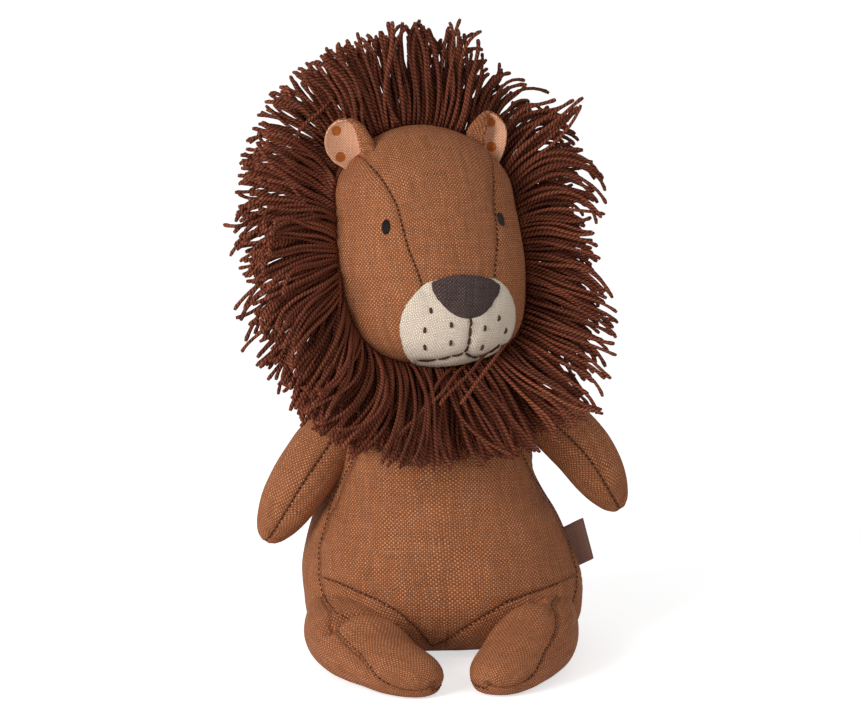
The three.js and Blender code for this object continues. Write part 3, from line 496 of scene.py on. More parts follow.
def upright_form(rows, squareness, right_side=((-1, 1), (999, 1))):
    """A form with a standing axis. Returns where a ring's points lie, and the ring's mean radius."""
    rows = np.array(rows, float)
    girth = (2 * rows[:, 1] + rows[:, 2] + rows[:, 3]) / 4
    knots = np.r_[0, np.cumsum(np.hypot(np.diff(rows[:, 0]), np.diff(girth)))]

    def place(turn, level):
        z, wide, front, back = flow(level * knots[-1], knots, rows).T
        across = np.sign(np.sin(turn)) * np.abs(np.sin(turn)) ** (2 / squareness)
        ahead = np.sign(np.cos(turn)) * np.abs(np.cos(turn)) ** (2 / squareness)
        depth = np.where(ahead > 0, front, back)
        wide = np.maximum(wide, 0) * np.where(across > 0, fuller(right_side, z), 1.0)
        points = np.stack([wide * across, -np.maximum(depth, 0) * ahead, z], 1)
        return points, level * knots[-1]

    return place, lambda along: np.interp(along, knots, girth)


def route_of(points):
    """A smooth line through points. Returns its length and a reader of places and directions along it."""
    points = np.array(points, float)
    knots = length_along(points)
    line = flow(np.linspace(0, knots[-1], 200), knots, points)
    run = length_along(line)
    ahead = np.gradient(line, run, axis=0)

    def read(along):
        inside = np.clip(along, 0, run[-1])
        way = unit(read_line(inside, run, ahead))
        return read_line(inside, run, line) + way * (along - inside)[:, None], way

    return run[-1], read


def limb_form(points, upright, rows):
    """A form along a smooth line. Angle 0 is the side that upright points to."""
    length, read = route_of(points)
    rows = np.array(rows, float) * (length, 1, 1)
    knots = np.r_[0, np.cumsum(np.hypot(np.diff(rows[:, 0]), np.diff(rows[:, 1])))]

    def place(turn, level):
        along, wide, high = flow(level * knots[-1], knots, rows).T
        middle, ahead = read(along)
        side = unit(np.cross(ahead, np.array(upright, float)))
        up = np.cross(side, ahead)
        sideways = side * (np.maximum(wide, 0) * np.sin(turn))[:, None]
        upwards = up * (np.maximum(high, 0) * np.cos(turn))[:, None]
        return middle + (sideways + upwards), level * knots[-1]

    girth = (rows[:, 1] + rows[:, 2]) / 2
    return place, lambda along: np.interp(along, knots, girth)


def torso_place():
    """Leans the torso and puts it on its place."""
    return Matrix(((1, 0, -LEAN, SHIFT[0]), (0, 1, 0, SHIFT[1]), (0, 0, 1, 0), (0, 0, 0, 1)))


def head_place():
    """Turns the head, tilts it and puts it on the neck."""
    neck = Matrix.Translation((SHIFT[0] - LEAN * NECK_HEIGHT, SHIFT[1], NECK_HEIGHT))
    turn = Matrix.Rotation(HEAD_TILT, 4, "Y") @ Matrix.Rotation(HEAD_TURN, 4, "Z")
    return neck @ turn @ Matrix.Translation((0, 0, -NECK_HEIGHT))


def plain_place():
    """The place of what neither leans nor turns."""
    return Matrix.Translation((SHIFT[0], SHIFT[1], 0))


def put(points, place):
    """Takes points in millimetres to their place in the scene, in metres."""
    m = np.array(place)
    return (points @ m[:3, :3].T + m[:3, 3]) * MM


def lift_back(points, place):
    """The other way round: scene points in metres to millimetres in a form's own frame."""
    m = np.array(place.inverted())
    return (points / MM) @ m[:3, :3].T + m[:3, 3]


# ---------- meshes ----------


def deselect():
    for o in bpy.context.selected_objects:
        o.select_set(False)


def select_only(piece):
    deselect()
    piece.select_set(True)
    bpy.context.view_layer.objects.active = piece


def triples_of(items, key):
    """Three numbers for each item of a mesh."""
    values = np.zeros(len(items) * 3, np.float32)
    items.foreach_get(key, values)
    return values.reshape(-1, 3).astype(float)


def whole_numbers_of(items, key):
    """One whole number for each item of a mesh."""
    values = np.zeros(len(items), np.int32)
    items.foreach_get(key, values)
    return values


def points_of(piece):
    return triples_of(piece.data.vertices, "co")


def set_points(piece, points):
    piece.data.vertices.foreach_set("co", np.ascontiguousarray(points, np.float32).ravel())
    piece.data.update()


def raise_points(piece, rise):
    """Moves each point out of the surface by its own rise, in millimetres."""
    set_points(piece, points_of(piece) + normals_of(piece) * (rise * MM)[:, None])


def normals_of(piece):
    return triples_of(piece.data.vertices, "normal")


def store(piece, name, values):
    """Keeps one number, or three, for every point of a piece."""
    values = np.array(values, np.float32)
    kind = "FLOAT" if values.ndim == 1 else "FLOAT_VECTOR"
    layer = piece.data.attributes.get(name) or piece.data.attributes.new(name, kind, "POINT")
    layer.data.foreach_set("value" if kind == "FLOAT" else "vector", values.ravel())
    piece.data.update()


def recall(piece, name):
    return triples_of(piece.data.attributes[name].data, "vector")


def apply_modifiers(piece):
    select_only(piece)
    for m in list(piece.modifiers):
        bpy.ops.object.modifier_apply(modifier=m.name)


def mesh_piece(name, points, faces):
    """A new piece from points in metres and faces."""
    mesh = bpy.data.meshes.new(name)
    mesh.from_pydata([tuple(p) for p in points], [], [tuple(f) for f in faces])
    mesh.update()
    piece = bpy.data.objects.new(name, mesh)
    bpy.context.scene.collection.objects.link(piece)
    mesh.polygons.foreach_set("use_smooth", [True] * len(mesh.polygons))
    return piece


def write_uv(piece, name, uv):
    layer = piece.data.uv_layers.get(name) or piece.data.uv_layers.new(name=name)
    layer.data.foreach_set("uv", uv.astype(np.float32).ravel())
    piece.data.uv_layers.active = layer
    piece.data.update()


def face_uv(piece, name, per_point, per_face=None):
    """Writes a UV map from each point's place on each chart, and each face's chart."""
    mesh = piece.data
    corner_point = whole_numbers_of(mesh.loops, "vertex_index")
    charts = np.array(per_point, float)
    if per_face is None:
        uv = charts[0][corner_point]
    else:
        face_of = np.zeros(len(mesh.loops), np.int32)
        face_of[whole_numbers_of(mesh.polygons, "loop_start")[1:]] = 1
        uv = charts[per_face[np.cumsum(face_of)], corner_point]
    write_uv(piece, name, uv)


def face_middles(piece, values):
    """Mean of a number over the points of each face."""
    mesh = piece.data
    at_corners = values[whole_numbers_of(mesh.loops, "vertex_index")]
    starts = whole_numbers_of(mesh.polygons, "loop_start")
    return np.add.reduceat(at_corners, starts) / whole_numbers_of(mesh.polygons, "loop_total")


def rounded_noise(points, size, seed=0):
    """Smooth unevenness from -1 to 1 whose lumps are about size across."""
    step = Vector((seed * 17.3, seed * 5.1, seed * 9.7))
    return np.array([noise.noise(Vector(p) / size + step) for p in points])


def new_ball(name, columns, rows):
    """A sphere to be shaped further, and its points."""
    deselect()
    bpy.ops.mesh.primitive_uv_sphere_add(segments=columns, ring_count=rows, radius=1, calc_uvs=False)
    piece = bpy.context.active_object
    piece.name = piece.data.name = name
    return piece, points_of(piece)


def new_cover(name, form, place, columns, rows):
    """A sphere whose every ring is moved to its place on a stuffed form."""
    piece, ball = new_ball(name, columns, rows)
    turn = np.arctan2(ball[:, 0], -ball[:, 1])
    level = 1 - np.arccos(np.clip(ball[:, 2], -1, 1)) / math.pi
    points, along = form(turn, level)
    set_points(piece, put(points, place))
    store(piece, "form", np.stack([np.sin(turn), np.cos(turn), along], 1))
    bpy.ops.object.shade_smooth()
    return piece


def inflate(piece, held, limit):
    """Lets the stuffing press the cloth out between its seams. held, 0 to 1, is how firm each point is."""
    scene = bpy.context.scene
    rest = points_of(piece)
    group = piece.vertex_groups.new(name="held")
    for i, weight in enumerate(held):
        if weight > 0.02:
            group.add([i], float(weight), "REPLACE")
    cloth = piece.modifiers.new("Cloth", "CLOTH")
    s = cloth.settings
    s.quality = 4
    s.mass = 0.1
    s.tension_stiffness = s.compression_stiffness = 12
    s.bending_stiffness = 0.3
    s.use_pressure = True
    s.uniform_pressure_force = 4
    s.effector_weights.gravity = 0
    s.vertex_group_mass = "held"
    cloth.point_cache.frame_start = 1
    cloth.point_cache.frame_end = CLOTH_FRAMES
    for f in range(1, CLOTH_FRAMES + 1):
        scene.frame_set(f)
    apply_modifiers(piece)
    scene.frame_set(1)
    move = points_of(piece) - rest
    reach = np.linalg.norm(move, axis=1)
    share = np.minimum(1, limit / np.maximum(reach, 1e-9))
    set_points(piece, rest + move * share[:, None])
    piece.vertex_groups.clear()


def thicken(piece, thickness, side):
    """Gives a sheet its thickness, in millimetres: outwards for side 1, inwards for -1, both ways for 0."""
    solid = piece.modifiers.new("Thickness", "SOLIDIFY")
    solid.thickness = thickness * MM
    solid.offset = side


def smooth_cover(piece, levels):
    m = piece.modifiers.new("Subdivision", "SUBSURF")
    m.levels = m.render_levels = levels
    apply_modifiers(piece)


def seam_relief(piece, seam, along, depth, pucker, lumps, seed):
    """Presses the seams in, puckers the cloth beside them and leaves the stuffing's unevenness."""
    points = points_of(piece) / MM
    edge = np.abs(seam)
    groove = -0.7 * depth * (hill(edge, 0.8) + hill(edge, 2.6))
    wander = rounded_noise(points, 6.0, seed)
    strength = 0.6 + 0.8 * rounded_noise(points, 9.0, seed + 3)
    ridges = np.sin(2 * math.pi * along / 2.9 + 5 * wander) * hill(edge, 3.2) * strength
    swell = lumps * rounded_noise(points, 19.0, seed + 1)
    swell = swell + 0.28 * lumps * rounded_noise(points, 6.5, seed + 2)
    raise_points(piece, groove + pucker * ridges + swell)


def tree_of(name):
    piece = bpy.data.objects[name]
    return BVHTree.FromPolygons(
        [v.co.copy() for v in piece.data.vertices], [tuple(p.vertices) for p in piece.data.polygons]
    )


def nearest_on(tree, points):
    """The nearest points of a cover's surface, and the way out of it there."""
    found = [tree.find_nearest(Vector(p)) for p in points]
    return np.array([f[0] for f in found]), np.array([f[1] for f in found])


def seen_on(tree, place, flat, side=-1):
    """Points and ways out where lines along the depth meet a cover. flat: across and height, in mm."""
    m = place.to_3x3()
    way = (m @ Vector((0, -side, 0))).normalized()
    spots, ways = [], []
    for x, z in flat:
        start = (place @ Vector((x, 120 * side, z))) * MM
        hit, normal = tree.ray_cast(start, way)[:2]
        if hit is None:
            hit, normal = tree.find_nearest((place @ Vector((x, 20 * side, z))) * MM)[:2]
        spots.append(hit)
        ways.append(normal)
    return np.array(spots), np.array(ways)


def runs_of(line, step):
    """Points at even steps along a line of points."""
    run = length_along(line)
    return read_line(np.arange(0, run[-1], step), run, line)


def reach_from(line, step, across, up):
    """How far points lie from a line of stitches on the face, seen from the front, in millimetres."""
    reach = np.full(len(across), 99.0)
    for x, _, z in runs_of(np.array([(x, 0, z) for x, z in line], float), step):
        reach = np.minimum(reach, np.hypot(across - x, up - z))
    return reach


def thread_runs(name, dashes, thickness, sides=5, flat=0.8, ends=0.35):
    """Short runs of thread: each dash is (from, to, way out), and bows out of the cloth in its middle."""
    points, faces, marks = [], [], []
    shape = [(0.0, ends, -0.25), (0.16, 0.85, 0.2), (0.5, 1.0, 0.45), (0.84, 0.85, 0.2), (1.0, ends, -0.25)]
    for start, end, out in dashes:
        start, end, out = Vector(start), Vector(end), Vector(out).normalized()
        ahead = (end - start).normalized()
        side = ahead.cross(out).normalized()
        base = len(points)
        for along, size, rise in shape:
            middle = start.lerp(end, along) + out * (rise * thickness)
            for i in range(sides):
                a = 2 * math.pi * i / sides
                spoke = side * math.cos(a) + out * (flat * math.sin(a))
                points.append(middle + spoke * (size * thickness / 2))
                marks.append(((end - start).length * along / MM, i / sides))
        for r in range(len(shape) - 1):
            low, high = base + r * sides, base + (r + 1) * sides
            for i in range(sides):
                j = (i + 1) % sides
                faces.append((low + i, low + j, high + j, high + i))
        faces.append(tuple(base + i for i in reversed(range(sides))))
        faces.append(tuple(base + (len(shape) - 1) * sides + i for i in range(sides)))
    piece = mesh_piece(name, points, faces)
    face_uv(piece, "strand", [marks])
    return piece


def seam_dashes(tree, line, pitch):
    """Stitches along a line on a cover."""
    spots, ways = nearest_on(tree, runs_of(line, pitch))
    return [(a, a + (b - a) * STITCH_SHARE, way) for a, b, way in zip(spots, spots[1:], ways)]


# ---------- materials ----------


class Graph:
    """A material's nodes, added and joined in one line each."""

    def __init__(self, name):
        self.material = bpy.data.materials.new(name)
        self.material.use_nodes = True
        self.tree = self.material.node_tree
        self.tree.nodes.clear()
        self.shader = self.add("ShaderNodeBsdfPrincipled")
        out = self.add("ShaderNodeOutputMaterial")
        self.tree.links.new(self.shader.outputs["BSDF"], out.inputs["Surface"])

    def add(self, kind, **settings):
        node = self.tree.nodes.new(kind)
        for key, value in settings.items():
            setattr(node, key, value)
        return node

    def give(self, socket, value):
        if isinstance(value, bpy.types.NodeSocket):
            self.tree.links.new(value, socket)
        else:
            socket.default_value = value

    def sum(self, operation, *values, clamp=False):
        node = self.add("ShaderNodeMath", operation=operation, use_clamp=clamp)
        for socket, value in zip(node.inputs, values):
            self.give(socket, value)
        return node.outputs[0]

    def times(self, a, b):
        return self.sum("MULTIPLY", a, b)

    def plus(self, a, b):
        return self.sum("ADD", a, b)

    def vector(self, operation, *values):
        node = self.add("ShaderNodeVectorMath", operation=operation)
        for socket, value in zip(node.inputs, values):
            self.give(socket, value)
        return node.outputs["Value" if operation == "DISTANCE" else "Vector"]

    def blend(self, share, a, b):
        node = self.add("ShaderNodeMix", data_type="RGBA")
        self.give(node.inputs["Factor"], share)
        self.give(node.inputs[6], a)
        self.give(node.inputs[7], b)
        return node.outputs[2]

    def between(self, share, a, b):
        node = self.add("ShaderNodeMix", data_type="FLOAT")
        self.give(node.inputs[0], share)
        self.give(node.inputs[2], a)
        self.give(node.inputs[3], b)
        return node.outputs[0]

    def spread(self, value, low, high, to_low=0.0, to_high=1.0, smooth=False):
        node = self.add("ShaderNodeMapRange", interpolation_type="SMOOTHSTEP" if smooth else "LINEAR")
        for socket, v in zip(node.inputs[:5], (value, low, high, to_low, to_high)):
            self.give(socket, v)
        return node.outputs[0]

    def grain(self, place, scale, detail=2.0, dimensions="2D", output=0):
        node = self.add("ShaderNodeTexNoise", noise_dimensions=dimensions)
        self.give(node.inputs["Vector"], place)
        node.inputs["Scale"].default_value = scale
        node.inputs["Detail"].default_value = detail
        return node.outputs[output]

    def uv(self, name):
        return self.add("ShaderNodeUVMap", uv_map=name).outputs[0]

    def split(self, vector):
        node = self.add("ShaderNodeSeparateXYZ")
        self.give(node.inputs[0], vector)
        return node.outputs

    def place(self, x, y):
        node = self.add("ShaderNodeCombineXYZ")
        for socket, value in zip(node.inputs, (x, y)):
            self.give(socket, value)
        return node.outputs[0]

    def surface(self, values):
        """Gives the shader its values, by the names of its sockets."""
        for name, value in values.items():
            self.give(self.shader.inputs[name], value)

    def relief(self, height, depth):
        """Height 0 to 1 over depth in metres."""
        node = self.add("ShaderNodeBump")
        node.inputs["Distance"].default_value = depth
        self.give(node.inputs["Height"], height)
        self.give(self.shader.inputs["Normal"], node.outputs[0])

    def attribute(self, name):
        return self.add("ShaderNodeAttribute", attribute_type="GEOMETRY", attribute_name=name)


def tone(colour, factor):
    """A lighter or darker colour. factor is one number, or one each for red, green and blue."""
    return (*np.minimum(1.0, np.array(colour) * factor).tolist(), 1.0)


def woven(name, colour, pitch, slubs=1.0, depth=0.3, seams=False, dots=None, sheen=0.1, contrast=0.31):
    """Plain weave: every thread has its own tone and thickness, and passes over and under its neighbours.
    Painted shade darkens the gaps between the threads and painted light brightens their tops, and the threads
    on top are painted lighter in every other cell, as if lit from one side.
    """
    g = Graph(name)
    uv = g.uv("weave")
    drift = g.vector("SUBTRACT", g.grain(uv, 0.13, output=1), (0.5, 0.5, 0.5))
    across, up, _ = g.split(g.vector("ADD", uv, g.vector("MULTIPLY", drift, (1.3, 1.3, 1.3))))
    column = g.sum("DIVIDE", across, pitch / MM)
    row = g.sum("DIVIDE", up, pitch / MM)
    i, j = g.sum("FLOOR", column), g.sum("FLOOR", row)
    warp_bow = g.sum("SINE", g.times(g.sum("FRACT", column), math.pi))
    weft_bow = g.sum("SINE", g.times(g.sum("FRACT", row), math.pi))
    warp_tone = g.grain(g.place(g.times(i, 3.71), g.times(up, 0.11)), 1.0)
    weft_tone = g.grain(g.place(g.times(across, 0.11), g.plus(g.times(j, 3.37), 61.0)), 1.0)
    turn = g.sum("FLOORED_MODULO", g.plus(i, j), 2.0)
    warp = g.times(g.sum("POWER", warp_bow, 0.6), g.sum("MULTIPLY_ADD", weft_bow, 0.5, 0.5))
    weft = g.times(g.sum("POWER", weft_bow, 0.6), g.sum("MULTIPLY_ADD", warp_bow, 0.5, 0.5))
    height = g.between(turn, warp, weft)
    thread = g.between(turn, warp_tone, weft_tone)
    fibre = g.grain(uv, 3.1)
    cloud = g.grain(g.add("ShaderNodeTexCoord").outputs["Object"], 42.0, 3.0, "3D")
    uneven = g.sum("SUBTRACT", fibre, 0.5)
    light = g.sum("ADD", g.spread(thread, 0.25, 0.8), g.times(uneven, 0.8), clamp=True)
    pale = tone(colour, 1 + np.array((0.34, 0.40, 0.46)) * slubs)
    cloth = g.blend(light, tone(colour, 1 - 0.24 * slubs), pale)
    if dots:
        printed = None
        for x, z in dots[1]:
            edge = g.plus(g.vector("DISTANCE", uv, (x, z, 0)), g.times(uneven, 0.35))
            spot = g.spread(edge, 1.62, 1.86, 1.0, 0.0)
            printed = spot if printed is None else g.sum("MAXIMUM", printed, spot)
        cloth = g.blend(printed, cloth, g.blend(light, tone(dots[0], 0.75), tone(dots[0], 1.3)))
    # Painted shade in the gaps between the threads and painted light on their tops. In every other cell the
    # thread on top is painted lighter, and in the rest darker, as if lit from one side.
    shade = g.times(g.spread(height, 0.1, 0.95, 0.55, 1.3), g.between(turn, 1 + contrast, 1 - contrast))
    shade = g.times(shade, g.spread(cloud, 0.3, 0.7, 0.94, 1.06))
    rise = g.plus(height, g.times(thread, 0.9))
    if seams:
        # Painted shade along the seams: a dark narrow line in the groove and a softer, wider one beside it
        edge = g.sum("ABSOLUTE", g.attribute("seam").outputs["Fac"])
        shade = g.times(shade, g.spread(edge, 0.05, 0.5, 0.72, 1.0, smooth=True))
        shade = g.times(shade, g.spread(edge, 0.3, 3.0, 0.93, 1.0, smooth=True))
        rise = g.sum("SUBTRACT", rise, g.spread(edge, 0.0, 0.6, 1.6, 0.0, smooth=True))
    # The painted shade in the hollows between the threads is made redder, and the painted light on their tops
    # paler
    tinted_shade = g.vector("MULTIPLY_ADD", shade, (1, 1.14, 1.25), (0, -0.14, -0.25))
    g.surface({
        "Base Color": g.vector("MULTIPLY", cloth, tinted_shade),
        "Roughness": g.spread(thread, 0.3, 0.7, 0.95, 0.72),
        "Specular IOR Level": 0.18,
        "Sheen Weight": sheen,
        "Sheen Roughness": 0.45,
        "Sheen Tint": tone(colour, 1.7),
    })
    g.relief(rise, depth * MM)
    return g.material


def spun(name, colour, lay, lift=1.0, tips=True):
    """Two-ply yarn: the plies wind round each other, with painted shade in the grooves between them and
    painted light on their crowns, and every strand has its own tone.
    """
    g = Graph(name)
    along, round_it, _ = g.split(g.uv("strand"))
    wind = g.plus(g.times(round_it, 2 * math.pi), g.times(along, 2 * math.pi / lay))
    ply = g.sum("ABSOLUTE", g.sum("COSINE", wind))
    hairs = g.grain(g.place(g.times(wind, 1.2), g.times(along, 0.5)), 2.6)
    own = g.attribute("tone").outputs["Fac"]
    # Painted shade in the grooves between the plies and painted light on their crowns, times the fibres' and
    # each strand's own tone
    ply_light_and_shade = g.spread(ply, 0.0, 0.85, 0.2, 1.35, smooth=True)
    shade = g.times(ply_light_and_shade, g.spread(hairs, 0.3, 0.7, 0.8, 1.2))
    shade = g.times(shade, g.spread(own, 0.0, 1.0, 0.6 * lift, 1.4 * lift))
    warm = g.blend(own, tone(colour, 1.0), tone(colour, (1.22, 1.3, 1.3)))
    if tips:
        end = g.attribute("end").outputs["Fac"]
        warm = g.blend(g.spread(end, 0.95, 1.0, 0.0, 0.25), warm, tone(colour, (1.75, 1.9, 2.0)))
    g.surface({
        "Base Color": g.vector("MULTIPLY", warm, shade),
        "Roughness": 0.85,
        "Specular IOR Level": 0.12,
        "Sheen Weight": 0.08,
        "Sheen Roughness": 0.4,
        "Sheen Tint": tone(colour, 3.0),
    })
    g.relief(g.plus(g.times(ply, 0.8), g.times(hairs, 0.35)), 0.42 * MM)
    return g.material


def satin(name, colour):
    """Close parallel embroidery thread with a soft shine, and painted shade between the threads."""
    g = Graph(name)
    across, up, _ = g.split(g.uv("weave"))
    moved = g.plus(across, g.times(g.grain(g.uv("weave"), 1.4, 1.0), 0.35))
    rib = g.spread(g.sum("SINE", g.times(moved, 2 * math.pi / 0.42)), -1.0, 1.0)
    own = g.grain(g.place(g.times(across, 2.4), g.times(up, 0.2)), 1.0, 1.0)
    # Painted shade in the grooves between the satin threads and painted light on their crests, times each
    # thread's own tone
    base = g.blend(g.times(rib, own), tone(colour, 0.5), tone(colour, 1.8))
    g.surface({"Base Color": base, "Roughness": 0.5, "Specular IOR Level": 0.16})
    g.relief(rib, 0.12 * MM)
    return g.material


def material(name, maker, *values, **named):
    return bpy.data.materials.get(name) or maker(name, *values, **named)


def linen_of(context):
    s, c = context.scene.lion_sizes, context.scene.lion_colours
    return material("rust_weave", woven, tuple(c.linen), s.weave_pitch, seams=True)


def seam_thread_of(context):
    return material("seam_thread", spun, tuple(context.scene.lion_colours.seam_thread), SEAM_LAY, tips=False)


def dress(piece, look):
    piece.data.materials.clear()
    piece.data.materials.append(look)
    return piece


def seam_stitches(context, name, dashes, thickness, lightness=0.5):
    """The stitches of a seam, as one piece."""
    piece = thread_runs(name, dashes, thickness)
    store(piece, "tone", np.full(len(piece.data.vertices), lightness))
    return dress(piece, seam_thread_of(context))


def unrolled(kept, girth):
    """Turn, height along the form, and the length that a turn by one radian has on the cloth."""
    along = kept[:, 2]
    return np.arctan2(kept[:, 0], kept[:, 1]), along, girth(along)


def wrap(angle):
    return (angle + math.pi) % (2 * math.pi) - math.pi


def turned(chart, degrees):
    a = math.radians(degrees)
    return chart @ np.array([[math.cos(a), math.sin(a)], [-math.sin(a), math.cos(a)]])


# ---------- torso ----------


def torso_seams(p):
    """Signed distance in millimetres to the nearest seam of the torso, and which panel each point is in."""
    x, y, z = p.T
    edge, slope = seam_width(SIDE_SEAM, z)
    more = np.where(x > 0, RIGHT_SEAM * fuller(RIGHT_SIDE, z), 1)
    edge, slope = edge * more, slope * more
    side = (np.abs(x) - edge) / np.sqrt(1 + slope**2)
    side = np.where(y < 0, side, 30.0 + y)
    heights, levels = np.array(HIP_SEAM, float).T
    hip_z = np.interp(x, heights, levels)
    hip_slope = np.interp(x + 1, heights, levels) - hip_z
    hip = (z - hip_z) / np.sqrt(1 + hip_slope**2)
    hip_near = np.where(side > 0, np.sign(hip) * np.hypot(hip, side), hip)
    middle = np.where(y > 0, x, np.sign(x) * (np.abs(x) - y))
    seat = z - SEAT_HEIGHT
    seat_near = np.where((y < 0) & (side < 0), 40.0, seat)
    seams = np.stack([side, hip_near, middle, seat_near])
    nearest = np.min(np.abs(seams), axis=0)
    sign = np.prod(np.sign(np.where(seams == 0, 1e-6, seams)), axis=0)
    return nearest * sign, side, hip


class LION_OT_torso(bpy.types.Operator):
    """Sew the torso's cover, with its belly, back and seat panels, and its seam stitches"""

    bl_idname = "object.lion_torso"
    bl_label = "Torso"

    def execute(self, context):
        form, girth = upright_form(TORSO_ROWS, TORSO_SQUARENESS, RIGHT_SIDE)
        place = torso_place()
        piece = new_cover("torso_cover", form, place, 96, 64)
        seam = torso_seams(lift_back(points_of(piece), place))[0]
        low = points_of(piece)[:, 2] / MM
        held = np.clip(1.15 - np.abs(seam) / 3.0, 0, 1)
        held = np.maximum(held, np.clip((6.0 - low) / 4.0, 0, 1))
        inflate(piece, held, 1.3 * MM)
        smooth_cover(piece, 2)
        local = lift_back(points_of(piece), place)
        seam, side, hip = torso_seams(local)
        kept = recall(piece, "form")
        seam_relief(piece, seam, kept[:, 2], 0.42, 0.16, 0.5, 1)
        # Soft creases: under the mane, at the waist and over the thighs
        x, y, z = local.T
        front = np.clip(-y / 12, 0, 1)
        fold = -1.1 * hill(z - 71 + 0.03 * x**2 / 4, 3.2) * np.clip(1 - np.abs(x + 4) / 34, 0, 1)
        off = np.abs(x)
        waist = -0.8 * hill(z - 52, 5) * hill(off - 34, 7)
        thigh = hill(z - 15, 7) * hill(off - 30, 9)
        tugs = 0.35 * np.sin((z - 0.45 * off) / 1.5) * hill(z - 44, 9) * hill(off - 33, 6)
        raise_points(piece, (fold + waist + thigh + tugs) * front)
        points = points_of(piece)
        points[:, 2] = np.maximum(points[:, 2], 0.05 * MM)
        set_points(piece, points)
        store(piece, "seam", seam)
        turn, along, round_it = unrolled(kept, girth)
        ahead = np.stack([turn * round_it, along], 1)
        behind = np.stack([wrap(turn - math.pi) * round_it, along + 0.35], 1)
        on_side, on_hip, right, depth, high = (face_middles(piece, v) for v in (side, hip, x, y, z))
        in_front = on_side < 0
        panel = np.select(
            [in_front & (on_hip > 0), in_front & (right < 0), in_front, right < 0], [0, 1, 2, 3], 4
        )
        panel[(high < SEAT_HEIGHT) & ~((on_side < 0) & (depth < -10))] = 5
        charts = [
            ahead, turned(ahead, -24), turned(ahead, 24), turned(behind, 2), turned(behind, -2), local[:, :2]
        ]
        face_uv(piece, "weave", charts, panel)
        dress(piece, linen_of(context))
        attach(piece, "torso")
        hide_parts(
            "torso_stuffing", "belly_panel", "back_panel_left", "back_panel_right", "seat_panel"
        )
        self.sew(context, piece, place)
        return {"FINISHED"}

    def sew(self, context, piece, place):
        s = context.scene.lion_sizes
        tree = tree_of(piece.name)
        dashes = []
        heights = np.linspace(12, 88, 60)
        for side in (-1, 1):
            width = seam_width(SIDE_SEAM, heights)[0]
            if side > 0:
                width = width * (RIGHT_SEAM * fuller(RIGHT_SIDE, heights))
            line = seen_on(tree, place, np.stack([side * width, heights], 1))[0]
            dashes += seam_dashes(tree, line, s.stitch_pitch)
        across = np.array([x for x, _ in HIP_SEAM])
        fine = np.linspace(-39, 39, 70)
        level = np.interp(fine, across, [z for _, z in HIP_SEAM])
        dashes += seam_dashes(tree, seen_on(tree, place, np.stack([fine, level], 1))[0], s.stitch_pitch)
        back = np.stack([np.zeros(50), np.linspace(4, 88, 50)], 1)
        dashes += seam_dashes(tree, seen_on(tree, place, back, side=1)[0], s.stitch_pitch)
        stitches = seam_stitches(context, "torso_stitches", dashes, s.stitch_thickness)
        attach(stitches, "torso")


# ---------- arms and legs ----------


def limb_cover(
    context, name, points, upright, rows, place, columns, rings, seam_of, seed, panels, fix=None, shape=None
):
    """A stuffed limb with two panels. seam_of gives the signed distance to its seam."""
    form, girth = limb_form(points, upright, rows)
    piece = new_cover(name, form, place, columns, rings)
    kept = recall(piece, "form")
    if fix:
        set_points(piece, fix(points_of(piece)))
    seam = seam_of(lift_back(points_of(piece), place), kept, girth)
    inflate(piece, np.clip(1.1 - np.abs(seam) / 2.2, 0, 1), 0.8 * MM)
    smooth_cover(piece, 2)
    kept = recall(piece, "form")
    seam = seam_of(lift_back(points_of(piece), place), kept, girth)
    seam_relief(piece, seam, kept[:, 2], 0.38, 0.15, 0.35, seed)
    if shape:
        set_points(piece, shape(points_of(piece)))
    if fix:
        set_points(piece, fix(points_of(piece)))
    store(piece, "seam", seam)
    turn, along, round_it = unrolled(kept, girth)
    near = along.max() - along
    share = np.clip(near / (1.4 * round_it.max()), 0, 1)
    share = share * share * (3 - 2 * share)
    charts = []
    for middle, tilt in panels:
        across = wrap(turn - math.radians(middle))
        x = near * np.sin(across) * (1 - share) + across * round_it * share
        y = (along.max() - near * np.cos(across)) * (1 - share) + along * share
        charts.append(turned(np.stack([x, y], 1), tilt))
    face_uv(piece, "weave", charts, np.where(face_middles(piece, seam) > 0, 0, 1))
    dress(piece, linen_of(context))
    return piece


def limb_stitches(context, name, cover, place, lines):
    """Stitches along lines in millimetres that lie near a limb's cover."""
    s = context.scene.lion_sizes
    tree = tree_of(cover.name)
    dashes = []
    for line in lines:
        dashes += seam_dashes(tree, put(np.array(line), place), s.stitch_pitch)
    return seam_stitches(context, name, dashes, s.stitch_thickness)


class LION_OT_arms(bpy.types.Operator):
    """Sew the two arms, each with an inner and an outer panel"""

    bl_idname = "object.lion_arms"
    bl_label = "Arms"

    def execute(self, context):
        place = plain_place()

        def seam_of(local, kept, girth):
            return kept[:, 0] * girth(kept[:, 2])

        for name, points, seed in (("left", ARM_LEFT, 11), ("right", ARM_RIGHT, 15)):
            cover = limb_cover(
                context, f"arm_{name}_cover", points, (0, 1, 0), ARM_ROWS, place, 44, 44, seam_of, seed,
                [(90, 6), (-90, -6)],
            )
            length, read = route_of(points)
            run = np.linspace(0.04, 0.985, 40) * length
            middle = read(run)[0]
            depth = np.interp(run / length, [r[0] for r in ARM_ROWS], [r[2] for r in ARM_ROWS])
            lines = [middle + np.stack([0 * depth, side * depth, 0 * depth], 1) for side in (-1, 1)]
            stitches = limb_stitches(context, f"arm_{name}_stitches", cover, place, lines)
            root, knee = put(read(np.array([0.0, 15.0]))[0], place)
            for piece in (cover, stitches):
                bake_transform(piece)
            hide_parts(f"arm_{name}_inner", f"arm_{name}_outer", f"arm_{name}_stuffing")
        return {"FINISHED"}


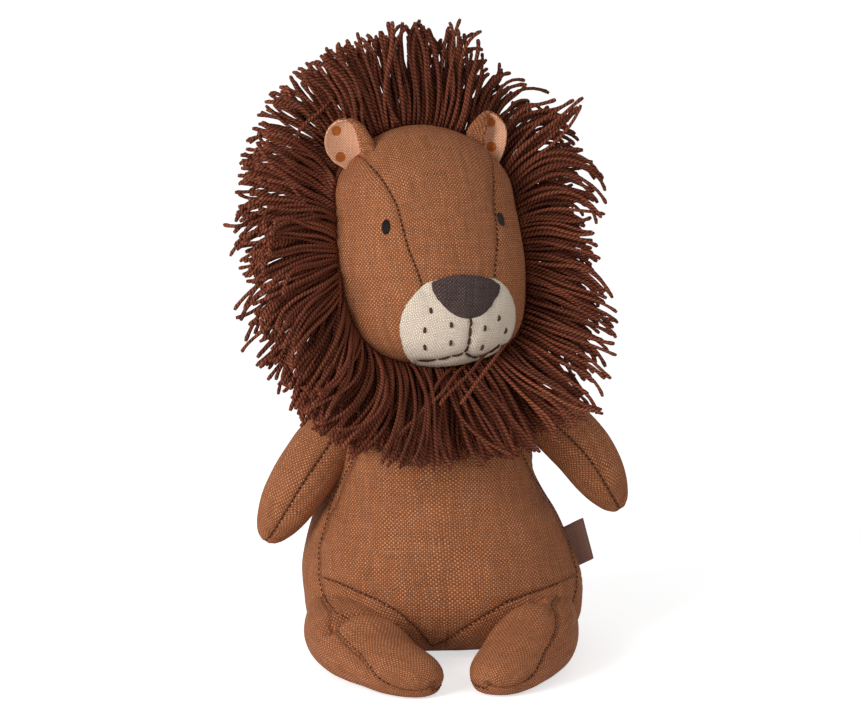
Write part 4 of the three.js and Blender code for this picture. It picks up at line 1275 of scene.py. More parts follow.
class LION_OT_legs(bpy.types.Operator):
    """Sew the two legs, each with a top and a sole, flattened where they lie on the ground"""

    bl_idname = "object.lion_legs"
    bl_label = "Legs"

    def execute(self, context):
        place = plain_place()
        ahead_of, outer, inner = np.array(LEG_SEAM, float).T
        for name, side, points, seed in (("left", -1, LEG_LEFT, 21), ("right", 1, LEG_RIGHT, 25)):

            def flatten(p):
                z = p[:, 2] / MM
                p[:, 2] = 0.5 * (z + np.sqrt(z * z + 0.5)) * MM
                return p

            def fold(p):
                """Folds the cloth on top of the leg, where it leaves the thigh"""
                local = lift_back(p, place)
                line = runs_of(np.array(LEG_FOLD[name], float), 0.6)
                gap = local[:, None, :2] - line[None]
                reach = np.hypot(gap[..., 0], gap[..., 1])
                nearest, off = reach.argmin(1), reach.min(1)
                front = gap[np.arange(len(p)), nearest, 1]
                along = nearest / (len(line) - 1)
                share = np.clip(local[:, 2] - 7, 0, 6) / 6 * np.clip(4 * along * (1 - along), 0, 1) ** 0.5
                crest, hollow = 2.2 * hill(off - 4.5, 4.0), -4.2 * hill(off - 3.2, 3.6)
                p[:, 2] += share * np.where(front < 0, crest, hollow) * np.clip(off / 2.0, 0, 1) * MM
                return p

            def seam_of(local, kept, girth):
                outwards = np.clip(0.5 - side * kept[:, 0] * 1.5, 0, 1)
                low, high = (np.interp(local[:, 1], ahead_of, level) for level in (inner, outer))
                return (local[:, 2] - (low * (1 - outwards) + high * outwards)) / 1.1

            cover = limb_cover(
                context, f"leg_{name}_cover", points, (0, 0, 1), LEG_ROWS, place, 48, 52, seam_of, seed,
                [(0, side * 8), (180, side * -6)], flatten, fold,
            )
            tree = tree_of(cover.name)
            lines = []
            run = np.linspace(-6, -76, 60)
            for way, level in ((side, outer), (-side, inner)):
                line = []
                for y in run:
                    x = np.interp(y, [q[1] for q in reversed(points)], [q[0] for q in reversed(points)])
                    start = (place @ Vector((x + way * 60, y, np.interp(y, ahead_of, level)))) * MM
                    hit = tree.ray_cast(start, Vector((-way, 0, 0)))[0]
                    if hit is not None:
                        line.append(lift_back(np.array([hit]), place)[0])
                lines.append(line)
            stitches = limb_stitches(context, f"leg_{name}_stitches", cover, place, lines)
            start, end = put(np.array([(side * HIP[0], HIP[1] - ahead, HIP[2]) for ahead in (6, 34)]), place)
            for piece in (cover, stitches):
                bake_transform(piece)
            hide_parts(f"leg_{name}_top", f"leg_{name}_sole", f"leg_{name}_stuffing")
        return {"FINISHED"}


# ---------- head ----------


def mane_frame():
    """Middle of the face's seam, and its up, right and front directions."""
    top, bottom = Vector(MANE_SEAM_TOP), Vector(MANE_SEAM_BOTTOM)
    up = (top - bottom).normalized()
    right = Vector((1, 0, 0))
    front = up.cross(right)
    if front.y > 0:
        front.negate()
    return (top + bottom) / 2, up, right, front


def head_seams(p):
    """Signed distances to the nearest seam of the head, to the gusset's seam and to the mane's seam."""
    x, y, z = p.T
    middle, _, _, front = mane_frame()
    ahead = (p - np.array(middle)) @ np.array(front)
    edge, slope = seam_width(GUSSET_SEAM, z)
    gusset = (np.abs(x) - edge) / np.sqrt(1 + slope**2)
    gusset = np.where(y < 8, gusset, np.abs(gusset) + 6)
    near = np.where(ahead < 0, np.sign(gusset) * np.hypot(gusset, ahead), gusset)
    hidden = np.where(z < 118, np.hypot(near, 118 - z) * np.sign(near), near)
    nearest = np.minimum(np.abs(hidden), np.abs(ahead))
    return nearest * np.sign(hidden) * np.sign(ahead), gusset, ahead


class LION_OT_head(bpy.types.Operator):
    """Sew the head's cover, with its forehead gusset, cheeks and back, and the mane's tape"""

    bl_idname = "object.lion_head"
    bl_label = "Head"

    def execute(self, context):
        s = context.scene.lion_sizes
        form, girth = upright_form(HEAD_ROWS, HEAD_SQUARENESS)
        place = head_place()
        piece = new_cover("head_cover", form, place, 88, 66)
        seam = head_seams(lift_back(points_of(piece), place))[0]
        held = np.clip(1.1 - np.abs(seam) / 2.6, 0, 1)
        inflate(piece, held, 0.7 * MM)
        smooth_cover(piece, 2)
        local = lift_back(points_of(piece), place)
        seam, gusset, ahead = head_seams(local)
        kept = recall(piece, "form")
        seam_relief(piece, seam, kept[:, 2], 0.4, 0.13, 0.38, 31)
        # The mouth's stitches pull the muzzle in
        x, y, z = local.T
        pull = np.zeros(len(local))
        for line in MOUTH_LINES:
            pull = np.maximum(pull, hill(reach_from(line, 0.8, x, z), 1.7))
        raise_points(piece, -0.6 * pull * np.clip(-y / 8, 0, 1))
        store(piece, "seam", seam)
        turn, along, round_it = unrolled(kept, girth)
        gusset_chart = np.stack([x * 1.04, np.arctan2(z - 133, -y) * 38.5], 1)
        cheek = []
        for middle, tilt in ((-50, -7), (50, 7)):
            cheek.append(turned(np.stack([(turn - math.radians(middle)) * round_it, along], 1), tilt))
        behind = np.stack([wrap(turn - math.pi) * round_it, along], 1)
        on_gusset, on_front, right = (face_middles(piece, v) for v in (gusset, ahead, x))
        panel = np.select([on_front < 0, on_gusset < 0, right < 0], [3, 0, 1], 2)
        face_uv(piece, "weave", [gusset_chart, *cheek, behind], panel)
        dress(piece, linen_of(context))
        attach(piece, "head")
        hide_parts("head_stuffing", "head_gusset", "cheek_left", "cheek_right", "head_back")
        tree = tree_of(piece.name)
        dashes = []
        heights = np.linspace(126, 168, 60)
        for side in (-1, 1):
            width = seam_width(GUSSET_SEAM, heights)[0]
            line = seen_on(tree, place, np.stack([side * width, heights], 1))[0]
            # Above the crown the lines of sight pass the cover
            line = line[: int(np.argmax(side * line[:, 0])) - 1]
            dashes += seam_dashes(tree, line, s.stitch_pitch)
        stitches = seam_stitches(context, "head_stitches", dashes, s.stitch_thickness, 0.4)
        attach(stitches, "head")
        self.tape(context, tree, place)
        self.neck(context)
        return {"FINISHED"}

    def tape(self, context, tree, place):
        """The tape round the head that the mane is sewn to"""
        c, s = context.scene.lion_colours, context.scene.lion_sizes
        steps, offsets = 120, (-5.8, -3.3, -0.8, 1.7, 4.2)
        n = len(offsets)
        points, faces = [], []
        for i in range(steps):
            angle = 360 * i / steps
            points += [mane_root(tree, place, angle, offset, 0.75)[0] for offset in offsets]
            for k in range(n - 1):
                a, b = i * n + k, ((i + 1) % steps) * n + k
                faces.append((a, a + 1, b + 1, b))
        tape = mesh_piece("mane_tape_cloth", points, faces)
        flat = [(360 * (i // n) / steps * 0.65, offsets[i % n]) for i in range(len(points))]
        face_uv(tape, "weave", [flat])
        thicken(tape, CLOTH_THICKNESS, -1)
        apply_modifiers(tape)
        dress(tape, material("tape_weave", woven, tuple(c.yarn), s.weave_pitch))
        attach(tape, "head")
        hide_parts("mane_tape")

    def neck(self, context):
        """Ladder stitches between the head and the torso, in a ring round the neck"""
        s = context.scene.lion_sizes
        low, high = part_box("neck_thread")
        middle, radius = (low + high) / 2, (high.x - low.x) / 2
        dashes = []
        count = 34
        for i in range(count):
            a, b = 2 * math.pi * i / count, 2 * math.pi * (i + 0.5) / count
            out = Vector((math.cos(a), math.sin(a), 0))
            lift = 0.9 * MM
            start = middle + out * (radius * 0.99) + Vector((0, 0, -lift))
            end = middle + Vector((math.cos(b), math.sin(b), 0)) * (radius * 0.97) + Vector((0, 0, lift))
            dashes.append((start, end, out))
        stitches = seam_stitches(context, "neck_stitches", dashes, s.stitch_thickness * 1.6, 0.4)
        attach(stitches, "neck")
        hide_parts("neck_thread")


def mane_root(tree, place, angle, offset, lift):
    """Where the head's cover is met at an angle round the face, a step in front of its seam, in metres."""
    middle, up, right, front = mane_frame()
    a = math.radians(angle)
    ahead = up * math.cos(a) + right * math.sin(a)
    start = place @ (middle + front * offset)
    way = (place.to_3x3() @ ahead).normalized()
    hit = tree.ray_cast(start * MM, way)[0]
    return hit + way * (lift * MM), way


# ---------- face ----------


def smooth_outline(half, count):
    """A closed outline from its right half, top first: even points, clockwise."""
    right = np.array(half, float)
    whole = np.vstack([right, right[1:-1][::-1] * (-1, 1)])
    whole = np.vstack([whole[-2:], whole, whole[:3]])
    knots = length_along(whole)
    line = flow(np.linspace(knots[2], knots[-3], 600), knots, whole)
    run = length_along(line)
    return read_line(np.linspace(0, run[-1], count, endpoint=False), run, line)


def patch(name, tree, place, middle, outline, rise, crown, fray, count=150, groove=(), tilt=0.0):
    """A cloth patch that lies on the head: closed, crowned, with a slightly frayed edge."""
    rim = turned(smooth_outline(outline, count), tilt)
    rng = np.random.default_rng(len(name))
    rim = rim * (1 + 0.4 * fray * rng.uniform(-1, 0.6, count)[:, None] / 20)
    rings = PATCH_RINGS
    out = np.sqrt(np.linspace(0.002, 1, rings))
    flat = np.vstack([np.zeros((1, 2)), *(rim * r for r in out)]) + np.array(middle)
    share = np.r_[0, np.repeat(out, count)]
    spots, ways = seen_on(tree, place, flat)
    lift = rise + crown * (1 - share**4)
    for line in groove:
        lift = lift - 0.55 * hill(reach_from(line, 0.7, *flat.T), 1.1)
    top = spots + ways * (np.maximum(lift, 0.12) * MM)[:, None]
    low = spots[-count:] - ways[-count:] * (0.3 * MM)
    points = np.vstack([top, low, [spots[0] - ways[0] * (0.6 * MM)]])
    faces = []
    last = 1 + rings * count
    for i in range(count):
        j = (i + 1) % count
        faces.append((0, 1 + i, 1 + j))
        for r in range(rings):
            a, b = 1 + r * count, 1 + (r + 1) * count
            faces.append((a + i, b + i, b + j, a + j))
        faces.append((last + i, last + count, last + j))
    piece = mesh_piece(name, points, faces)
    select_only(piece)
    bpy.ops.object.mode_set(mode="EDIT")
    bpy.ops.mesh.select_all(action="SELECT")
    bpy.ops.mesh.normals_make_consistent(inside=False)
    bpy.ops.object.mode_set(mode="OBJECT")
    local = lift_back(points_of(piece), place)
    face_uv(piece, "weave", [turned(local[:, (0, 2)], 9)])
    return piece


class LION_OT_face(bpy.types.Operator):
    """Lay the muzzle and nose on the head and embroider the eyes, mouth and whiskers"""

    bl_idname = "object.lion_face"
    bl_label = "Face"

    def execute(self, context):
        s, c = context.scene.lion_sizes, context.scene.lion_colours
        place = head_place()
        tree = tree_of("head_cover")
        muzzle = patch(
            "muzzle_cloth", tree, place, MUZZLE_MIDDLE, MUZZLE_OUTLINE, 0.45, 0.5, 0.35, groove=MOUTH_LINES,
            tilt=-3,
        )
        cream = material(
            "cream_weave", woven, tuple(c.cream), s.weave_pitch * 0.78, slubs=0.4, depth=0.16, contrast=0.13
        )
        dress(muzzle, cream)
        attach(muzzle, "head")
        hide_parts("muzzle_patch")
        over = tree_of("muzzle_cloth")
        nose = patch("nose_cloth", tree, place, NOSE_MIDDLE, NOSE_OUTLINE, 1.0, 0.9, 0.06, count=120, tilt=-6)
        charcoal = material(
            "charcoal_weave", woven, tuple(c.charcoal), s.weave_pitch * 0.86, slubs=1.1, depth=0.16,
            contrast=0.3,
        )
        dress(nose, charcoal)
        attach(nose, "head")
        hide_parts("nose_patch")
        dashes = []
        for line in MOUTH_LINES:
            spots, ways = seen_on(over, place, line)
            for start, end, way in zip(spots, spots[1:], ways):
                dashes.append((start + (end - start) * 0.01, start + (end - start) * 1.04, way))
        for k, (x, z) in enumerate(WHISKERS):
            lean = 0.35 * math.sin(k * 2.1) + (0.5 if x > 1 else -0.25)
            ends, ways = seen_on(over, place, [(x - 0.5 * lean, z - 1.05), (x + 0.5 * lean, z + 1.05)])
            dashes.append((ends[0], ends[1], ways[0]))
        mouth = thread_runs("mouth_stitches", dashes, s.mouth_thickness, sides=8, flat=0.75, ends=0.5)
        store(mouth, "tone", np.full(len(mouth.data.vertices), 0.5))
        look = material("mouth_thread", spun, tuple(c.thread), MOUTH_LAY, lift=1.1, tips=False)
        dress(mouth, look)
        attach(mouth, "head")
        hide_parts("mouth_stitch")
        for name in ("left", "right"):
            self.eye(context, name, tree)
        return {"FINISHED"}

    def eye(self, context, name, tree):
        """One eye: a low mound of satin stitch"""
        s, c = context.scene.lion_sizes, context.scene.lion_colours
        spot, way = seen_on(tree, head_place(), [EYES[name]])
        out, spot = Vector(way[0]), Vector(spot[0])
        eye, ball = new_ball(f"eye_{name}_thread", 36, 20)
        rim = np.arctan2(ball[:, 2], ball[:, 0])
        spread = 1 + 0.03 * np.sin(26 * rim)
        sizes = [spread * s.eye_width / 2, np.full(len(ball), 0.75 * MM), spread * s.eye_height / 2]
        shape = ball * np.stack(sizes, 1)
        turn = (-out).to_track_quat("Y", "Z").to_matrix().to_4x4()
        turn = Matrix.Translation(spot) @ turn @ Matrix.Rotation(math.radians(-4), 4, "Y")
        m = np.array(turn)
        set_points(eye, shape @ m[:3, :3].T + m[:3, 3])
        bpy.ops.object.shade_smooth()
        face_uv(eye, "weave", [shape[:, (0, 2)] / MM])
        dress(eye, material("eye_satin", satin, tuple(c.eyes)))
        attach(eye, "head")
        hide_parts(f"eye_{name}")


# ---------- ears ----------

# From the base up, in millimetres: the ear's outer edge, the line on which its inner side folds forwards,
# and the edge of the folded side, each across and up
EAR_LEFT = [
    (-28.4, 158.6, -18.0, 163.4, -19.6, 161.0),
    (-28.7, 161.5, -18.2, 165.8, -20.6, 163.4),
    (-32.4, 163.9, -18.8, 168.0, -22.2, 165.4),
    (-34.9, 167.5, -19.9, 170.6, -23.5, 167.8),
    (-35.4, 171.4, -21.2, 172.9, -24.2, 170.8),
    (-34.1, 175.0, -22.8, 175.4, -24.7, 173.6),
    (-31.4, 177.3, -24.9, 177.0, -25.6, 175.9),
    (-28.3, 177.9, -26.9, 177.8, -27.1, 177.4),
]
EAR_RIGHT = [
    (21.6, 158.4, 12.6, 167.6, 17.6, 166.0),
    (23.4, 161.8, 12.8, 170.1, 18.5, 168.7),
    (25.2, 166.0, 13.1, 172.4, 18.1, 170.2),
    (26.0, 170.3, 14.3, 174.4, 18.6, 172.0),
    (25.7, 173.6, 15.6, 175.9, 19.0, 173.7),
    (24.1, 176.1, 17.1, 177.4, 19.4, 175.5),
    (22.1, 177.7, 18.6, 178.4, 19.8, 177.2),
    (20.4, 178.5, 19.6, 178.8, 20.1, 178.3),
]
EAR_DOTS = [(-31.6, 174.2), (-30.3, 165.2), (20.9, 175.4), (21.2, 166.9)]


class LION_OT_ears(bpy.types.Operator):
    """Fold the two ears, lined with dotted cotton, and set them in the gusset's seams"""

    bl_idname = "object.lion_ears"
    bl_label = "Ears"

    def execute(self, context):
        s, c = context.scene.lion_sizes, context.scene.lion_colours
        lining = material(
            "ear_lining_cotton", woven, tuple(c.lining), s.weave_pitch * 0.7, slubs=0.35, depth=0.14,
            contrast=0.2, dots=(tuple(c.dots), EAR_DOTS),
        )
        for name, rows, depth in (("left", EAR_LEFT, 2.5), ("right", EAR_RIGHT, 16.0)):
            self.ear(context, name, rows, depth, lining)
        return {"FINISHED"}

    def ear(self, context, name, table, depth, lining):
        """One ear: lining and back, both from the same folded sheet"""
        flat_steps, bend_steps, flap_steps, row_steps = 22, 8, 9, 30
        table = np.array(table, float)
        levels = np.linspace(0, len(table) - 1, row_steps + 1)
        rows = flow(levels, np.arange(len(table)), table)
        points, charts = [], []
        for r, (ox, oz, fx, fz, rx, rz) in enumerate(rows):
            outer, fold, rim = np.array([ox, oz]), np.array([fx, fz]), np.array([rx, rz])
            long = np.linalg.norm(fold - outer)
            way = (fold - outer) / long
            bend = min(1.45, 0.42 + 0.09 * long)
            top = r / row_steps
            bow = 1.6 * math.sin(math.pi * min(1.0, top + 0.12)) + 1.2 * (1 - top)
            end = fold - way * bend
            for k in range(flat_steps + 1):
                share = k / flat_steps
                spot = outer + (end - outer) * share
                cup = bow * math.sin(math.pi * share) - 1.1 * (1 - share) ** 3
                points.append((spot[0], depth + cup, spot[1]))
                charts.append(spot)
            for k in range(1, bend_steps + 1):
                angle = math.pi * k / bend_steps
                spot = end + way * (bend * math.sin(angle))
                points.append((spot[0], depth - bend + bend * math.cos(angle), spot[1]))
                charts.append(end + way * (bend * angle))
            flap = rim - end
            for k in range(1, flap_steps + 1):
                share = k / flap_steps
                spot = end + flap * share
                roll = 0.9 * math.exp(-(((1 - share) / 0.22) ** 2)) - 1.3 * max(0.0, share - 0.86) / 0.14
                points.append((spot[0], depth - 2 * bend + 0.7 * share - roll, spot[1]))
                charts.append(end + way * (bend * math.pi + np.linalg.norm(flap) * share))
        n = flat_steps + bend_steps + flap_steps + 1
        faces = []
        for r in range(row_steps):
            for k in range(n - 1):
                a = r * n + k
                quad = (a, a + 1, a + n + 1, a + n)
                faces.append(quad if name == "left" else tuple(reversed(quad)))
        points, charts = np.array(points), np.array(charts)
        for layer, side, look, slot in (
            ("lining", 1, lining, "lining"), ("back", -1, linen_of(context), "linen")
        ):
            if layer == "back":
                points = self.trimmed(points, n)
                charts = turned(charts * 1.4, 40)
            piece = mesh_piece(f"ear_{name}_{layer}_cloth", points * MM, faces)
            face_uv(piece, "weave", [charts])
            set_points(piece, points_of(piece) + normals_of(piece) * (0.06 * side * MM))
            thicken(piece, CLOTH_THICKNESS, side)
            bevel = piece.modifiers.new("Edge", "BEVEL")
            bevel.width = 0.14 * MM
            bevel.segments = 2
            bevel.limit_method = "ANGLE"
            apply_modifiers(piece)
            store(piece, "seam", np.full(len(piece.data.vertices), 9.0))
            dress(piece, look)
            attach(piece, "head")
            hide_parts(f"ear_{name}_{layer}")

    def trimmed(self, points, across):
        """The same cloth with its two long edges a little further in, so that the lining rolls over them."""
        rows = points.reshape(-1, across, 3).copy()
        for row in rows:
            run = length_along(row)
            edge = min(0.42, 0.15 * run[-1])
            row[:] = read_line(np.interp(run, (0, run[-1]), (edge, run[-1] - edge)), run, row)
        return rows.reshape(-1, 3)


# ---------- mane ----------


def strands(name, paths, radius, tones):
    """Strands of yarn along paths of (count, steps, 3) points in metres."""
    count, steps, _ = paths.shape
    sides, least = YARN_SIDES, 1e-12
    ahead = unit(np.gradient(paths, axis=1), least)
    side = np.zeros_like(paths)
    side[:, 0] = unit(np.cross(ahead[:, 0], np.array([0.31, 0.87, 0.38])), least)
    for k in range(1, steps):
        before = side[:, k - 1]
        side[:, k] = unit(before - ahead[:, k] * np.sum(before * ahead[:, k], axis=1)[:, None], least)
    out = np.cross(ahead, side)
    # A cut end frays a little wider, and its last threads close in again
    size = np.repeat(radius[:, None], steps, 1)
    size[:, -2] *= 1.22
    size[:, -1] *= 0.86
    angle = 2 * math.pi * np.arange(sides)[None, None, :, None] / sides
    ring = side[:, :, None, :] * np.cos(angle) + out[:, :, None, :] * np.sin(angle)
    points = (paths[:, :, None, :] + size[:, :, None, None] * ring).reshape(-1, 3)
    one = []
    for r in range(steps - 1):
        for i in range(sides):
            j = (i + 1) % sides
            one.append((r * sides + i, r * sides + j, (r + 1) * sides + j, (r + 1) * sides + i))
    first = (np.arange(count) * steps * sides)[:, None]
    quads = (np.array(one)[None] + first[:, None]).reshape(-1, 4)
    caps_low = np.arange(sides)[::-1][None] + first
    caps_high = np.arange(sides)[None] + (steps - 1) * sides + first
    piece = mesh_piece(name, points, quads.tolist() + caps_low.tolist() + caps_high.tolist())
    legs = np.linalg.norm(np.diff(paths, axis=1), axis=2)
    run = np.concatenate([np.zeros((count, 1)), np.cumsum(legs, axis=1)], axis=1) / MM
    corner = whole_numbers_of(piece.data.loops, "vertex_index")
    ring_side = (corner % sides).astype(float)
    # The last side of each quad ends at a full turn, not at none
    per_quad = len(quads) * 4
    closing = np.zeros(len(corner), bool)
    q = ring_side[:per_quad].reshape(-1, 4)
    wraps = (q.max(1) == sides - 1) & (q.min(1) == 0)
    closing[:per_quad] = (wraps[:, None] & (q == 0)).ravel()
    uv = np.stack([run.reshape(-1)[corner // sides], (ring_side + closing * sides) / sides], 1)
    write_uv(piece, "strand", uv)
    store(piece, "tone", np.repeat(tones, steps * sides))
    store(piece, "end", np.tile(np.repeat(np.linspace(0, 1, steps), sides), count))
    return piece


def keep_out(points, radius):
    """Pushes strand points, in millimetres before the shift, away from the torso, the arms and the ears."""
    x, y, z = points[..., 0] + LEAN * points[..., 2], points[..., 1], points[..., 2]
    rows = np.array(TORSO_ROWS[3:-1], float)
    wide = np.interp(z, rows[:, 0], rows[:, 1]) + radius
    front, back = (np.interp(z, rows[:, 0], rows[:, k]) for k in (2, 3))
    depth = np.where(y < 0, front, back) + radius
    spread = np.abs(x / wide) ** TORSO_SQUARENESS + np.abs(y / depth) ** TORSO_SQUARENESS
    spread = spread ** (1 / TORSO_SQUARENESS)
    inside = (spread < 1) & (z < 92)
    push = np.where(inside, 1 / np.maximum(spread, 0.35), 1)
    points[..., 0] += x * (push - 1) * 0.4
    points[..., 1] += y * (push - 1) + np.where(inside & (y < 0), -np.abs(x) * (push - 1) * 0.35, 0)
    for line in (ARM_LEFT, ARM_RIGHT):
        length, read = route_of(line)
        steps = np.linspace(0, 0.8, 13)
        spots = read(steps * length)[0]
        sizes = np.interp(steps, [r[0] for r in ARM_ROWS], [r[2] for r in ARM_ROWS]) + radius + 0.8
        for spot, size in zip(spots, sizes):
            away = points - spot
            off = np.linalg.norm(away, axis=-1)
            near = off < size
            away[..., 1] -= np.where(near, 2.5, 0)
            far = np.linalg.norm(away, axis=-1) + 1e-9
            moved = spot + away / far[..., None] * size
            points[near] = moved[near]
    for (across, up), (wide, high), back in MANE_BEHIND:
        off = np.hypot((points[..., 0] + SHIFT[0] - across) / wide, (points[..., 2] - up) / high)
        least = back - SHIFT[1] - 14 * np.clip(off - 0.75, 0, 1)
        points[..., 1] = np.where(off < 1.6, np.maximum(points[..., 1], least), points[..., 1])
    return points


def cut_at_kinks(paths, travel):
    """Ends each strand where the body bends it sharply, as if it was cut there."""
    legs = np.diff(paths, axis=1)
    long = np.linalg.norm(legs, axis=2)
    ways = legs / np.maximum(long, 1e-9)[..., None]
    bent = np.sum(ways[:, 2:] * ways[:, :-2], axis=2) < math.cos(math.radians(60))
    bent[:, :3] = False
    for i in np.flatnonzero(bent.any(1)):
        last = int(np.argmax(bent[i])) + 2
        run = np.r_[0, np.cumsum(long[i, :last])]
        paths[i] = read_line(travel * run[-1], run, paths[i, : last + 1])
    return paths


class LION_OT_mane(bpy.types.Operator):
    """Plant the mane's rows of two-ply yarn round the face"""

    bl_idname = "object.lion_mane"
    bl_label = "Mane"

    def execute(self, context):
        s, c = context.scene.lion_sizes, context.scene.lion_colours
        place = head_place()
        look = material("mane_yarn", spun, tuple(c.yarn), YARN_LAY)
        rng = np.random.default_rng(7)
        angle, share, root = self.roots(s, place, rng)
        wrapped = (angle + 180) % 360 - 180
        travel = np.r_[np.linspace(0, 0.93, 13), 0.965, 1.0]
        path, own, single = self.grow(s, rng, angle, wrapped, share, root, travel)
        path = self.trim(s, rng, path, root, share, own)
        paths = self.settle(s, place, path, travel)
        radius = s.yarn_thickness / 2 * rng.uniform(0.88, 1.1, len(angle))
        tones = np.clip(0.5 + 0.16 * single[:, 0] + 0.1 * own[:, 4], 0, 1)
        self.plant(look, paths, radius, tones, wrapped, share)
        return {"FINISHED"}

    def roots(self, s, place, rng):
        """Each strand's angle round the face, its row, from 0 at the back to 1 in front, and its root."""
        tree = tree_of("head_cover")
        inverse = place.inverted()
        per_row = int(MANE_ROUND * MM / s.yarn_spacing)
        planted = []
        for r in range(s.yarn_rows):
            share = 1 - r / (s.yarn_rows - 1)
            for i in range(per_row):
                angle = 360 * (i + 0.5 * (r % 2) + rng.uniform(-0.3, 0.3)) / per_row - 180
                offset = MANE_BAND * (2 * share - 1) + rng.uniform(-0.4, 0.4)
                root, _ = mane_root(tree, place, angle, offset, 0.3)
                planted.append((angle, share, *(inverse @ (root / MM))))
        planted = np.array([p for p in planted if not self.under_ear(place, p)])
        return planted[:, 0], planted[:, 1], planted[:, 2:]

    def grow(self, s, rng, angle, wrapped, share, root, travel):
        """Grows the strands step by step. Those of one lock share their bends, and each adds its own."""
        count, steps = len(angle), len(travel)
        up, right, front = (np.array(v) for v in mane_frame()[1:])
        reach, turns = np.array(MANE_REACH, float), np.array(MANE_TURNS, float)
        slope_front = flow(wrapped, reach[:, 0], reach)[:, 3]
        root_turn, tip_turn = flow(wrapped, turns[:, 0], turns).T[1:]
        tier = np.minimum((share * 3.999).astype(int), 3)
        around = angle + 180 + 5 * np.sin(tier * 2.4 + angle * 0.11)
        lock = 60 * tier + np.floor(around / (LOCK_ANGLE + tier)).astype(int)
        own = rng.normal(0, 1, (LOCKS, 6))[lock]
        beat = rng.uniform(0, 2 * math.pi, (LOCKS, 3))[lock]
        kept = np.where(np.abs(wrapped - 90) < 80, 1.0, 0.8)
        single = rng.normal(0, 1, (count, 8))
        phase = rng.uniform(0, 2 * math.pi, (count, 3))
        stray = rng.random(count) < STRAY_SHARE
        root_turn = root_turn + kept * 5 * own[:, 0] + 3.5 * single[:, 0]
        root_turn = root_turn + np.where(stray & (share > 0.6), 20 * single[:, 6], 0)
        tip_turn = tip_turn + kept * 13 * own[:, 1] + 7 * single[:, 1] + np.where(stray, 34 * single[:, 7], 0)
        slope = BACK_SLOPE + (slope_front - BACK_SLOPE) * share + 4 * own[:, 2] + 4 * single[:, 2]
        for start, end, turn, rise in MANE_CROSSING:
            chosen = np.flatnonzero((angle > start) & (angle < end) & (share > 0.9))[::3]
            root_turn[chosen], tip_turn[chosen], slope[chosen] = turn, turn + 8 * single[chosen, 1], rise
        length = s.mane_radius / MM * 0.55
        droop = np.clip(np.abs(wrapped) / 90, 0, 1) * 0.3
        path = np.zeros((count, steps, 3))
        path[:, 0] = root
        for k in range(1, steps):
            t = (travel[k] + travel[k - 1]) / 2
            set_in = min(1.0, 3 * t)
            turn = root_turn * (1 - t) + tip_turn * t
            turn = turn + (6 + 3 * np.abs(own[:, 3])) * np.sin(beat[:, 0] + (5.5 + own[:, 4]) * t) * set_in
            turn = turn + 7 * np.sin(phase[:, 0] + (9 + 2 * single[:, 3]) * t) * set_in
            turn = turn + 26 * single[:, 4] * max(0.0, t - 0.72) / 0.28
            rise = slope + (1 - t) ** 2 * (6 + 16 * share) + 7 * np.sin(beat[:, 1] + 5 * t) * t
            rise = rise + 7 * np.sin(phase[:, 1] + (8 + 2 * single[:, 3]) * t)
            rise = rise + 22 * single[:, 5] * max(0.0, t - 0.75) / 0.25
            a, lift = np.radians(angle + turn), np.radians(rise)
            flat = (up * np.cos(a)[:, None] + right * np.sin(a)[:, None]) * np.cos(lift)[:, None]
            way = flat + front * np.sin(lift)[:, None]
            way[:, 2] -= droop * t
            path[:, k] = path[:, k - 1] + unit(way) * (length * (travel[k] - travel[k - 1]))
        return path, own, single

    def trim(self, s, rng, path, root, share, own):
        """Cuts every strand where the mane's edge is, a little raggedly."""
        count = len(path)
        middle, up, right, _ = (np.array(v) for v in mane_frame())
        table = np.array(MANE_REACH, float)
        ragged = rng.normal(1.0, 0.028, count) * (1 + 0.02 * own[:, 5])
        ragged = ragged * np.where(rng.random(count) < 0.12, rng.uniform(0.84, 0.95, count), 1)
        grown = path - root[:, None]
        base = np.hypot((root - middle) @ up, (root - middle) @ right)
        scale = np.ones(count)
        for _ in range(4):
            tip = root + grown[:, -1] * scale[:, None] - middle
            high, wide = tip @ up, tip @ right
            edge = flow(np.degrees(np.arctan2(wide, high)), table[:, 0], table)
            edge = s.mane_radius / MM * (edge[:, 2] + (edge[:, 1] - edge[:, 2]) * share)
            scale *= np.clip((edge - base) / np.maximum(np.hypot(high, wide) - base, 4), 0.7, 1.4)
            scale = np.clip(scale, 0.55, 1.3)
        return root[:, None] + grown * (scale * ragged)[:, None, None]

    def settle(self, s, place, path, travel):
        """Takes the strands to their place, pushes them away from the body and returns them in metres."""
        m = np.array(place)
        points = path @ m[:3, :3].T + m[:3, 3]
        points -= (*SHIFT, 0)
        for _ in range(2):
            points[:, 2:] = keep_out(points[:, 2:], 0.9 + 0.5 * s.yarn_thickness / MM)
            # Kinks from the limits are smoothed out
            points[:, 2:-2] = (points[:, 1:-3] + 2 * points[:, 2:-2] + points[:, 3:-1]) / 4
        points = cut_at_kinks(points, travel)
        points[..., :2] += SHIFT
        return points * MM

    def under_ear(self, place, strand):
        """Whether an ear is sewn over the strand's root."""
        x, y, z = place @ Vector(strand[2:])
        for (across, up), (wide, high), back in MANE_BEHIND:
            if math.hypot((x - across) / wide, (z - up) / high) < 0.92 and y < back:
                return True
        return False

    def plant(self, look, paths, radius, tones, wrapped, share):
        """Makes one piece of the strands of each part of the mane."""
        for node, is_front, start, end in MANE_PIECES:
            turned_angle = np.where(wrapped < start, wrapped + 360, wrapped) if end > 180 else wrapped
            chosen = (turned_angle >= start) & (turned_angle < end) & ((share > 0.49) == bool(is_front))
            piece = strands("yarn_" + node[5:], paths[chosen], radius[chosen], tones[chosen])
            dress(piece, look)
            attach(piece, "head")
            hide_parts(node)


# ---------- tail and label ----------


